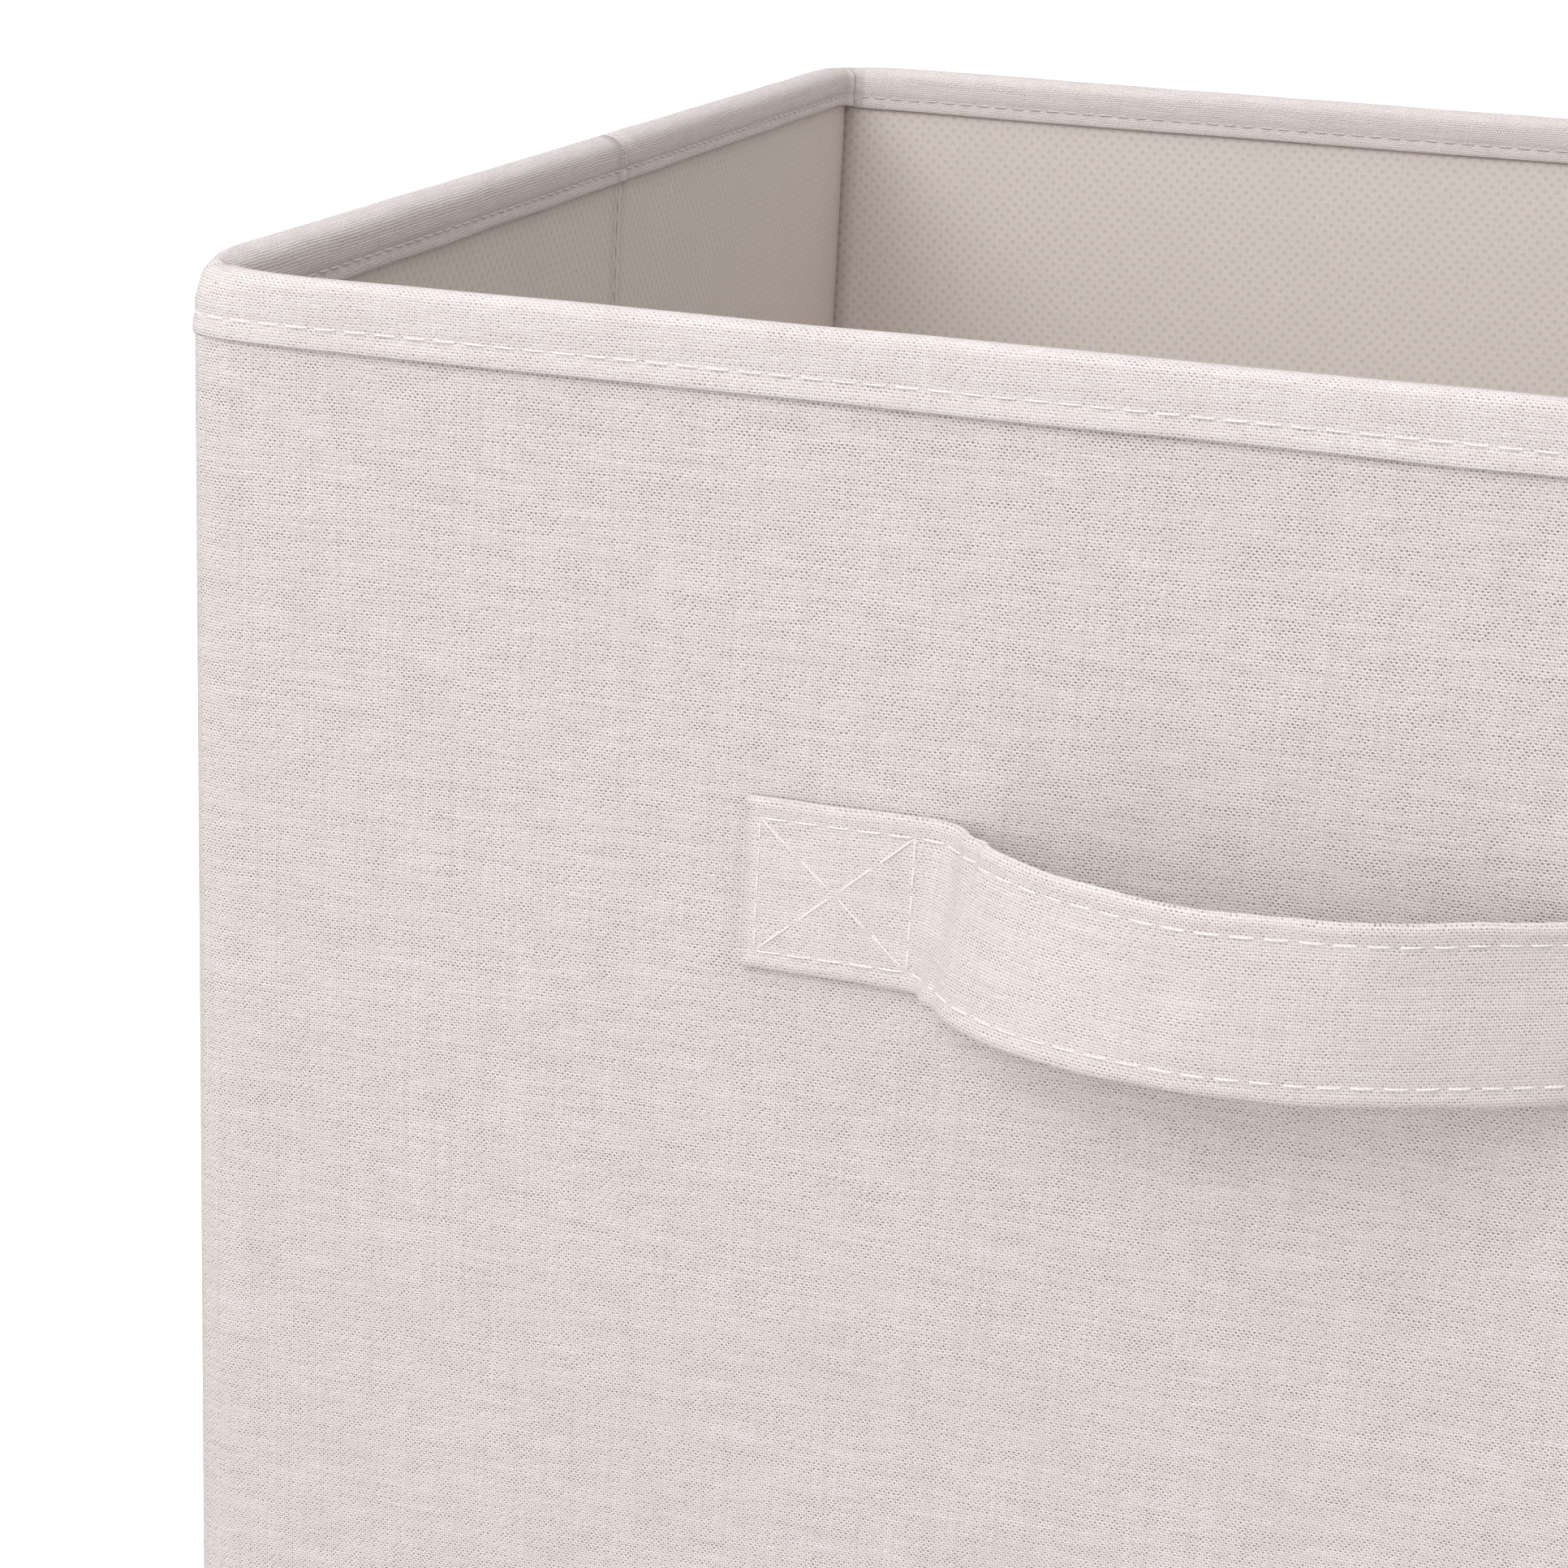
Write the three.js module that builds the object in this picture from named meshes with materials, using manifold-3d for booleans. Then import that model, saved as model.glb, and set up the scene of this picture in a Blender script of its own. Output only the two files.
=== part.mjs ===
// A collapsible fabric storage bin, in millimetres.
// +X runs to the right along the front, +Y to the back, +Z up.
// The origin is on the floor, under the middle of the bin.
import * as THREE from 'three';
import { mergeVertices } from 'three/addons/utils/BufferGeometryUtils.js';
import Module from 'manifold-3d';

const wasm = await Module();
wasm.setup();

// ---- Overall sizes, over the outer cloth -------------------------------------------------
const WIDTH = 330;
const DEPTH = 380;
const HEIGHT = 330;

// ---- Wall build-up, from the outside in ---------------------------------------------------
const COVER_T = 0.8;
const BOARD_T = 1.8;
const LINING_T = 0.5;
const LAYER_GAP = 0.3;
const CORNER_R = 4.5;
const BOARD_INSET = 1.5;

// ---- Folded strip sewn over the rim -------------------------------------------------------
const BINDING_T = 0.7;
const BAND_HEIGHT = 10.5;

// ---- Hinge lines at the corners and creases -----------------------------------------------
const HINGE_GAP = 0.6;

// ---- Floor cloth, turned up round its edge ------------------------------------------------
const FLOOR_T = 0.8;
const FLOOR_EDGE_HEIGHT = 5.2;
const WALL_BASE_GAP = 0.8;

// ---- Loose stiff base ---------------------------------------------------------------------
const INSERT_BOARD_T = 2.1;
const INSERT_CLOTH_T = 0.5;
const INSERT_CLEARANCE = 1.5;

// ---- Cloth handles ------------------------------------------------------------------------
const STRAP_WIDTH = 26;
const STRAP_T = 1.6;
const HANDLE_DROP = 80;
const HANDLE_SPAN = 157;
const PATCH_LENGTH = 27;
const LOOP_STANDOFF = 22;
const LOOP_PEAK_OFFSET = -10;
const LOOP_CUT_STANDOFF = 6.5;
const LOOP_CUT_GAP = 0.4;
const LOOP_STEPS = 44;

// ---- Colours ------------------------------------------------------------------------------
const LINEN = 0xdfd8d3;
const NON_WOVEN = 0xb8aea7;
const BOARD_GREY = 0x9a948c;

// ---- Sizes worked out from the ones above --------------------------------------------------
const WALL_T = COVER_T + LAYER_GAP + BOARD_T + LAYER_GAP + LINING_T;
const BINDING_OUT = LAYER_GAP + BINDING_T;
const WALL_BASE = FLOOR_EDGE_HEIGHT + WALL_BASE_GAP;
const WALL_TOP = HEIGHT - BINDING_T - LAYER_GAP;
const HALF_W = WIDTH / 2;
const HALF_D = DEPTH / 2;
const SIDE_END = HALF_D - WALL_T - BINDING_OUT - HINGE_GAP;
const FACE_END = SIDE_END + HINGE_GAP;

// Material shared by every piece that is made of the same stuff.
function finish(color, roughness) {
  return new THREE.MeshStandardMaterial({ color, roughness, metalness: 0 });
}

const clothFinish = finish(LINEN, 0.9);
const liningFinish = finish(NON_WOVEN, 0.95);
const boardFinish = finish(BOARD_GREY, 0.85);

// A closed upright prism: an outline in the floor plane, raised from one height to another.
function prism(shape, low, high) {
  const geometry = new THREE.ExtrudeGeometry(shape, {
    depth: high - low,
    bevelEnabled: false,
    curveSegments: 8,
  });
  geometry.translate(0, 0, low);
  return geometry;
}

function rectangle(x0, x1, y0, y1) {
  const shape = new THREE.Shape();
  shape.moveTo(x0, y0);
  shape.lineTo(x1, y0);
  shape.lineTo(x1, y1);
  shape.lineTo(x0, y1);
  shape.closePath();
  return shape;
}

function block(x0, x1, y0, y1, z0, z1) {
  return prism(rectangle(x0, x1, y0, y1), z0, z1);
}

// A rectangle about the origin with all four corners rounded.
function roundedRectangle(halfX, halfY, radius) {
  const shape = new THREE.Shape();
  shape.moveTo(-halfX + radius, -halfY);
  shape.lineTo(halfX - radius, -halfY);
  shape.absarc(halfX - radius, -halfY + radius, radius, -Math.PI / 2, 0, false);
  shape.lineTo(halfX, halfY - radius);
  shape.absarc(halfX - radius, halfY - radius, radius, 0, Math.PI / 2, false);
  shape.lineTo(-halfX + radius, halfY);
  shape.absarc(-halfX + radius, halfY - radius, radius, Math.PI / 2, Math.PI, false);
  shape.lineTo(-halfX, -halfY + radius);
  shape.absarc(-halfX + radius, -halfY + radius, radius, Math.PI, 1.5 * Math.PI, false);
  return shape;
}

// The bin's plan outline, moved out by `grow`, as a prism.
function planPrism(grow, low, high) {
  return prism(roundedRectangle(HALF_W + grow, HALF_D + grow, CORNER_R + grow), low, high);
}

function toSolid(geometry) {
  const bare = geometry.clone();
  bare.deleteAttribute('normal');
  bare.deleteAttribute('uv');
  const merged = mergeVertices(bare, 1e-4);
  const mesh = new wasm.Mesh({
    numProp: 3,
    vertProperties: new Float32Array(merged.attributes.position.array),
    triVerts: new Uint32Array(merged.index.array),
  });
  return new wasm.Manifold(mesh);
}

function toGeometry(solid) {
  const mesh = solid.getMesh();
  const geometry = new THREE.BufferGeometry();
  geometry.setAttribute('position', new THREE.BufferAttribute(mesh.vertProperties, 3));
  geometry.setIndex(new THREE.BufferAttribute(mesh.triVerts, 1));
  geometry.computeVertexNormals();
  return geometry;
}

function cut(body, ...tools) {
  return tools.reduce((left, tool) => left.subtract(toSolid(tool)), toSolid(body));
}

const bin = new THREE.Group();

function add(parent, name, geometry, material) {
  const mesh = new THREE.Mesh(geometry, material);
  mesh.name = name;
  parent.add(mesh);
}

// ---- Front and back walls -----------------------------------------------------------------
// Both are made as the front wall. The back one is turned half round about +Z.
function faceCover() {
  const shell = cut(planPrism(0, WALL_BASE, WALL_TOP), planPrism(-COVER_T, 0, HEIGHT));
  const keep = block(-WIDTH, WIDTH, -DEPTH, -FACE_END, 0, HEIGHT);
  return toGeometry(shell.intersect(toSolid(keep)));
}

// How far from the middle a piece inside the cover may reach at depth y, a layer gap clear of its corner.
function halfWidthInsideCorner(y) {
  const intoCorner = Math.max(0, CORNER_R - HALF_D - y);
  return HALF_W - CORNER_R + Math.sqrt((CORNER_R - COVER_T - LAYER_GAP) ** 2 - intoCorner ** 2);
}

function faceBinding() {
  const outer = planPrism(BINDING_OUT, HEIGHT - BAND_HEIGHT, HEIGHT);
  const keep = block(-WIDTH, WIDTH, -DEPTH, -FACE_END, 0, HEIGHT);
  const hollow = toSolid(planPrism(LAYER_GAP, 0, WALL_TOP + LAYER_GAP));
  const innerFace = -HALF_D + WALL_T + LAYER_GAP;
  const legHalf = halfWidthInsideCorner(innerFace);
  const innerLeg = block(-legHalf, legHalf, innerFace, -FACE_END + 1, 0, HEIGHT);
  return toGeometry(toSolid(outer).intersect(toSolid(keep)).subtract(hollow.subtract(toSolid(innerLeg))));
}

function faceWall(side) {
  const wall = new THREE.Group();
  const halfX = HALF_W - CORNER_R;
  const boardY = -HALF_D + COVER_T + LAYER_GAP;
  const liningY = boardY + BOARD_T + LAYER_GAP;
  const boardTop = WALL_TOP - BOARD_INSET;
  const boardBase = WALL_BASE + BOARD_INSET;
  add(wall, `${side}_cover`, faceCover(), clothFinish);
  add(wall, `${side}_board`, block(-halfX, halfX, boardY, boardY + BOARD_T, boardBase, boardTop), boardFinish);
  add(wall, `${side}_lining`, block(-halfX, halfX, liningY, liningY + LINING_T, WALL_BASE, WALL_TOP), liningFinish);
  add(wall, `${side}_binding`, faceBinding(), clothFinish);
  return wall;
}

// ---- Side walls, each in a front half and a back half ----------------------------------------
// Made as the left front half: the others are mirrored by swapping signs of x and y.
function span(a, b, sign) {
  return [Math.min(a * sign, b * sign), Math.max(a * sign, b * sign)];
}

function sideBlock(xs, ys, x0, x1, y0, y1, z0, z1) {
  return block(...span(x0, x1, xs), ...span(y0, y1, ys), z0, z1);
}

function sideHalf(name, xs, ys) {
  const half = new THREE.Group();
  const outer = HALF_W;
  const boardX = outer - COVER_T - LAYER_GAP;
  const liningX = boardX - BOARD_T - LAYER_GAP;
  const near = HINGE_GAP / 2;
  const far = SIDE_END;
  const make = (x0, x1, y0, y1, z0, z1) => sideBlock(xs, ys, x0, x1, y0, y1, z0, z1);
  add(half, `${name}_cover`, make(outer, outer - COVER_T, near, far, WALL_BASE, WALL_TOP), clothFinish);
  add(half, `${name}_board`, make(boardX, boardX - BOARD_T, near + BOARD_INSET, far - BOARD_INSET,
    WALL_BASE + BOARD_INSET, WALL_TOP - BOARD_INSET), boardFinish);
  add(half, `${name}_lining`, make(liningX, liningX - LINING_T, near, far, WALL_BASE, WALL_TOP), liningFinish);
  const strip = make(outer + BINDING_OUT, outer - WALL_T - BINDING_OUT, near, far, HEIGHT - BAND_HEIGHT, HEIGHT);
  const slot = make(outer + LAYER_GAP, outer - WALL_T - LAYER_GAP, 0, DEPTH, 0, WALL_TOP + LAYER_GAP);
  add(half, `${name}_binding`, toGeometry(cut(strip, slot)), clothFinish);
  return half;
}

// ---- Handles --------------------------------------------------------------------------------
// The strap's middle line in plan: x along the wall, y the distance out from the cover.
// It rises steeply at one end and slopes back slowly at the other.
function strapLine() {
  const flat = LAYER_GAP + STRAP_T / 2;
  const end = HANDLE_SPAN / 2 - PATCH_LENGTH;
  const peak = LOOP_PEAK_OFFSET;
  return new THREE.CatmullRomCurve3([
    new THREE.Vector3(-end, flat, 0),
    new THREE.Vector3(-end + 5, flat + 0.26 * LOOP_STANDOFF, 0),
    new THREE.Vector3(-end + 13, flat + 0.67 * LOOP_STANDOFF, 0),
    new THREE.Vector3(peak - 14, flat + 0.9 * LOOP_STANDOFF, 0),
    new THREE.Vector3(peak, flat + LOOP_STANDOFF, 0),
    new THREE.Vector3(peak + 15, flat + 0.88 * LOOP_STANDOFF, 0),
    new THREE.Vector3(peak + 28, flat + 0.66 * LOOP_STANDOFF, 0),
    new THREE.Vector3(end - 8, flat + 0.12 * LOOP_STANDOFF, 0),
    new THREE.Vector3(end, flat, 0),
  ], false, 'centripetal');
}

// The strap as a closed ribbon standing on edge, from one sewn end to the other.
function strapRibbon() {
  const line = strapLine();
  const outline = { out: [], back: [] };
  const outerEnd = HANDLE_SPAN / 2;
  const flat = LAYER_GAP + STRAP_T / 2;
  outline.out.push([-outerEnd, flat + STRAP_T / 2]);
  outline.back.push([-outerEnd, flat - STRAP_T / 2]);
  for (let i = 0; i <= LOOP_STEPS; i += 1) {
    const u = i / LOOP_STEPS;
    const p = line.getPointAt(u);
    const t = i === 0 || i === LOOP_STEPS ? new THREE.Vector3(1, 0, 0) : line.getTangentAt(u);
    outline.out.push([p.x - t.y * STRAP_T / 2, p.y + t.x * STRAP_T / 2]);
    outline.back.push([p.x + t.y * STRAP_T / 2, p.y - t.x * STRAP_T / 2]);
  }
  outline.out.push([outerEnd, flat + STRAP_T / 2]);
  outline.back.push([outerEnd, flat - STRAP_T / 2]);
  const shape = new THREE.Shape();
  // Seen from above the front wall faces -Y, so distance out is -y.
  const ring = [...outline.out, ...outline.back.reverse()].map(([x, y]) => new THREE.Vector2(x, -HALF_D - y));
  shape.setFromPoints(ring);
  const middle = HEIGHT - HANDLE_DROP;
  return toSolid(prism(shape, middle - STRAP_WIDTH / 2, middle + STRAP_WIDTH / 2));
}

// Where the strap's middle line passes a distance out from the wall, on its left or right side.
function crossing(distance, rightSide) {
  const line = strapLine();
  const points = line.getSpacedPoints(400);
  const ordered = rightSide ? points.reverse() : points;
  return ordered.find((p) => p.y >= distance).x;
}

function handle(side) {
  const group = new THREE.Group();
  const ribbon = strapRibbon();
  const left = crossing(LOOP_CUT_STANDOFF, false);
  const right = crossing(LOOP_CUT_STANDOFF, true);
  const half = LOOP_CUT_GAP / 2;
  const slice = (x0, x1) => toGeometry(ribbon.intersect(toSolid(block(x0, x1, -DEPTH, 0, 0, HEIGHT))));
  add(group, `${side}_handle_left_end`, slice(-WIDTH, left - half), clothFinish);
  add(group, `${side}_handle_loop`, slice(left + half, right - half), clothFinish);
  add(group, `${side}_handle_right_end`, slice(right + half, WIDTH), clothFinish);
  return group;
}

// ---- Floor cloth and loose base ---------------------------------------------------------------
function floorCover() {
  return toGeometry(cut(planPrism(0, 0, FLOOR_EDGE_HEIGHT), planPrism(-FLOOR_T, FLOOR_T, HEIGHT)));
}

function baseInsert() {
  const group = new THREE.Group();
  const halfX = HALF_W - WALL_T - BINDING_OUT - INSERT_CLEARANCE;
  const halfY = HALF_D - WALL_T - BINDING_OUT - INSERT_CLEARANCE;
  const low = FLOOR_T + LAYER_GAP;
  const boardLow = low + INSERT_CLOTH_T + LAYER_GAP;
  const boardHigh = boardLow + INSERT_BOARD_T;
  const high = boardHigh + LAYER_GAP + INSERT_CLOTH_T;
  const inX = halfX - INSERT_CLOTH_T;
  const inY = halfY - INSERT_CLOTH_T;
  const wrapInside = block(-inX, inX, -inY, inY, 0, boardHigh + LAYER_GAP);
  const fit = (grow) => [-inX + grow, inX - grow, -inY + grow, inY - grow];
  add(group, 'insert_wrap', toGeometry(cut(block(-halfX, halfX, -halfY, halfY, low, high), wrapInside)), liningFinish);
  add(group, 'insert_board', block(...fit(LAYER_GAP), boardLow, boardHigh), boardFinish);
  add(group, 'insert_backing', block(...fit(LAYER_GAP), low, low + INSERT_CLOTH_T), liningFinish);
  return group;
}

// ---- The whole bin -------------------------------------------------------------------------------
function turnedHalfRound(group) {
  group.rotation.z = Math.PI;
  return group;
}

bin.add(faceWall('front'));
bin.add(turnedHalfRound(faceWall('back')));
bin.add(sideHalf('left_front', -1, -1));
bin.add(sideHalf('left_back', -1, 1));
bin.add(sideHalf('right_front', 1, -1));
bin.add(sideHalf('right_back', 1, 1));
bin.add(handle('front'));
bin.add(turnedHalfRound(handle('back')));
add(bin, 'floor_cover', floorCover(), clothFinish);
bin.add(baseInsert());

export default bin;
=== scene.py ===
"""A collapsible fabric storage bin in off-white linen-look cloth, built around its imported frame.

Lengths are in metres. +X runs to the right along the front, +Y to the back, +Z up.
"""
import math

import bmesh
import bpy
from mathutils import Matrix, Vector, noise


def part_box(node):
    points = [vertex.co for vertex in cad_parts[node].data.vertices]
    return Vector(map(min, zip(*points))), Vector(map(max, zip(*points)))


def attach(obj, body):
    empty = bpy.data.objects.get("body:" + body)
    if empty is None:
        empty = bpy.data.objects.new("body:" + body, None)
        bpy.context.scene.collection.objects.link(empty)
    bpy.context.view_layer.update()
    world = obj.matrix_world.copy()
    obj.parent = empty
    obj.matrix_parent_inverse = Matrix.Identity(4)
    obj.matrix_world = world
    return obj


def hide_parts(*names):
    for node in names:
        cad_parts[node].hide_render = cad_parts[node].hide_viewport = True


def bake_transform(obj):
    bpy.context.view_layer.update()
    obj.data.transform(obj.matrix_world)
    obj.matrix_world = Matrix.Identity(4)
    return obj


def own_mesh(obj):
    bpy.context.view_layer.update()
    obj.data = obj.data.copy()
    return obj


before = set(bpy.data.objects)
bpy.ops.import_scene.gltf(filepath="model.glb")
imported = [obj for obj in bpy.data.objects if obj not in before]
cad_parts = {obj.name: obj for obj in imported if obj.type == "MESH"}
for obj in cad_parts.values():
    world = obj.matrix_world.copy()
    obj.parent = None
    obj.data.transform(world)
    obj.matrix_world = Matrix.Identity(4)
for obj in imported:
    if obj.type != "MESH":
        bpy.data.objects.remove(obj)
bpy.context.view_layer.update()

MM = 0.001

# ---- Sizes read from the frame ------------------------------------------------------------------
cover_low, cover_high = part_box("front_cover")
rim_low, rim_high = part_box("front_binding")
side_low, side_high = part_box("left_front_board")
_, lining_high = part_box("left_front_lining")
_, face_lining_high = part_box("front_lining")
_, floor_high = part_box("floor_cover")
wrap_low, wrap_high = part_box("insert_wrap")
loop_low, loop_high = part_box("front_handle_loop")
_, right_end_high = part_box("front_handle_right_end")

HALF_W = cover_high.x
HALF_D = -cover_low.y
FACE_END = -cover_high.y
WALL_BASE = cover_low.z
WALL_TOP = cover_high.z
RIM_TOP = rim_high.z
BAND_LOW = rim_low.z
RIM_OUT = rim_high.x - HALF_W
SIDE_LINING_X = lining_high.x * -1
FACE_LINING_Y = -face_lining_high.y
CREASE_HALF = -side_high.y
BEND_END = -side_low.y
WALL_T = HALF_W - SIDE_LINING_X
INNER_DEPTH = WALL_T + RIM_OUT
BAND_HEIGHT = RIM_TOP - BAND_LOW

# Each wall or side with the sign that mirrors the front's or the left side's shape onto it.
FACES = (("front", 1), ("back", -1))
SIDE_WALLS = (("left", 1), ("right", -1))

# ---- Cloth --------------------------------------------------------------------------------------
COVER_T = 0.8 * MM
LINING_T = 0.5 * MM
BINDING_T = 0.7 * MM
CORNER_R = 4.5 * MM
GRID = 5 * MM
BEND_GRID = 0.25 * MM
CREASE_GRID = 0.12 * MM
INSERT_GRID = 12 * MM
STITCH_PITCH = 4.4 * MM
STITCH_LENGTH = 3.3 * MM
THREAD_R = 0.17 * MM
CROSS_STITCH_PITCH = 7 * MM
BOX_STITCH_IN = 2.4 * MM
BOX_STITCH_END = 2.2 * MM
INSERT_STITCH_IN = 7.0 * MM
RIM_STITCH_UP = 3.1 * MM
CROWN_SLOPE = 1.1 * MM
FRONT_CROWN = -0.25 * MM
SIDE_CROWN = 0.6 * MM
BACK_CROWN = 0.7 * MM
FACE_LEG_RISE = 0.7 * MM
SIDE_LEG_RISE = 1.8 * MM
CORNER_REACH = 8.5 * MM
CORNER_SOFT = 1.5 * MM
CORNER_SEAM = math.radians(47)
NOSING_ANGLE = math.radians(74)
NOSING_STEP = 1.0 * MM
NOSING_CLEAR = 0.3 * MM
SEAM_DEPTH = 0.45 * MM
SEAM_WIDTH = 0.22 * MM
SEAM_LIP = 0.2 * MM
SEAM_LIP_OFF = 0.5 * MM
SEAM_LIP_WIDTH = 0.45 * MM
CREASE_DEPTH = 0.55 * MM
CREASE_WIDTH = 0.4 * MM
CLOTH_WAVE = 0.25 * MM
WAVE_SHOWN = 0.6
RIM_EASE = 16 * MM
CORNER_EASE = 9.0 * MM

# ---- Handles ------------------------------------------------------------------------------------
STRAP_T = 1.6 * MM
STRAP_HALF = (loop_high.z - loop_low.z) / 2
STRAP_MID = (loop_high.z + loop_low.z) / 2
HANDLE_HALF = right_end_high.x
PATCH_LENGTH = 27 * MM
STRAP_FLAT = 1.1 * MM
LOOP_STANDOFF = 22 * MM
LOOP_PEAK = -9 * MM
EDGE_STITCH_IN = 3.0 * MM
FOLD_SLANT = 2.4 * MM
BEND_OFF = 9 * MM


# ==== Materials ==================================================================================
def node_group(name, inputs, outputs):
    group = bpy.data.node_groups.new(name, "ShaderNodeTree")
    for label, kind, default in inputs:
        socket = group.interface.new_socket(name=label, in_out="INPUT", socket_type=kind)
        if default is not None:
            socket.default_value = default
    for label, kind in outputs:
        group.interface.new_socket(name=label, in_out="OUTPUT", socket_type=kind)
    return group, group.nodes.new("NodeGroupInput"), group.nodes.new("NodeGroupOutput")


class Wiring:
    """Short calls for placing nodes in one tree and linking them."""

    def __init__(self, tree):
        self.tree = tree

    def set(self, socket, value):
        if isinstance(value, bpy.types.NodeSocket):
            self.tree.links.new(value, socket)
        elif value is not None:
            socket.default_value = value

    def node(self, kind, inputs=None, **options):
        made = self.tree.nodes.new(kind)
        for key, value in options.items():
            setattr(made, key, value)
        for key, value in (inputs or {}).items():
            self.set(made.inputs[key], value)
        return made

    def math(self, operation, a, b=None, c=None, clamp=False):
        made = self.node("ShaderNodeMath", operation=operation, use_clamp=clamp)
        for index, value in enumerate((a, b, c)):
            self.set(made.inputs[index], value)
        return made.outputs[0]

    def mix(self, factor, a, b):
        made = self.node("ShaderNodeMix", data_type="RGBA")
        self.set(made.inputs[0], factor)
        self.set(made.inputs[6], a)
        self.set(made.inputs[7], b)
        return made.outputs[2]

    def noise(self, vector, scale, detail=2.0, rough=0.5):
        made = self.node("ShaderNodeTexNoise", {"Vector": vector, "Scale": scale})
        made.inputs["Detail"].default_value = detail
        made.inputs["Roughness"].default_value = rough
        return made.outputs["Fac"]

    def remap(self, value, low, high, to_low=0.0, to_high=1.0):
        made = self.node("ShaderNodeMapRange", {"Value": value})
        for key, number in zip(("From Min", "From Max", "To Min", "To Max"), (low, high, to_low, to_high)):
            self.set(made.inputs[key], number)
        return made.outputs[0]

    def combine(self, x, y, z=0.0):
        return self.node("ShaderNodeCombineXYZ", {"X": x, "Y": y, "Z": z}).outputs[0]

    def times(self, value, factor):
        return self.math("MULTIPLY", value, factor)

    def round_over(self, off, fall):
        """A yarn's round top: 1 over its middle line, 0 where the fall has used it up."""
        squared = self.math("POWER", off, 2.0)
        return self.math("SQRT", self.math("MULTIPLY_ADD", squared, fall, 1.0, clamp=True))

    def chance(self, cell, row):
        """One random value for each cell of a grid."""
        spot = self.combine(cell, row)
        made = self.node("ShaderNodeTexWhiteNoise", {"Vector": spot}, noise_dimensions="2D")
        return made.outputs["Value"]

    def laid(self, place, scale, turn=0.0):
        """The cloth's own lengths stretched and turned, for streaks."""
        made = self.node("ShaderNodeMapping", {"Vector": place})
        made.inputs["Rotation"].default_value = (0, 0, turn)
        made.inputs["Scale"].default_value = (*scale, 1)
        return made.outputs[0]

    def bump(self, shader, height, strength, distance):
        made = self.node("ShaderNodeBump", {"Height": height})
        made.inputs["Strength"].default_value = strength
        made.inputs["Distance"].default_value = distance
        self.set(shader.inputs["Normal"], made.outputs[0])


# Shares of a yarn's pitch: how far a gap between yarns reaches each way, and how far yarns drift.
HOLE_WIDTH = 0.64
HOLE_HEIGHT = 0.4
DRIFT_SCALE = 95.0
WARP_DRIFT = 2.0
WEFT_DRIFT = 2.4


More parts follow.
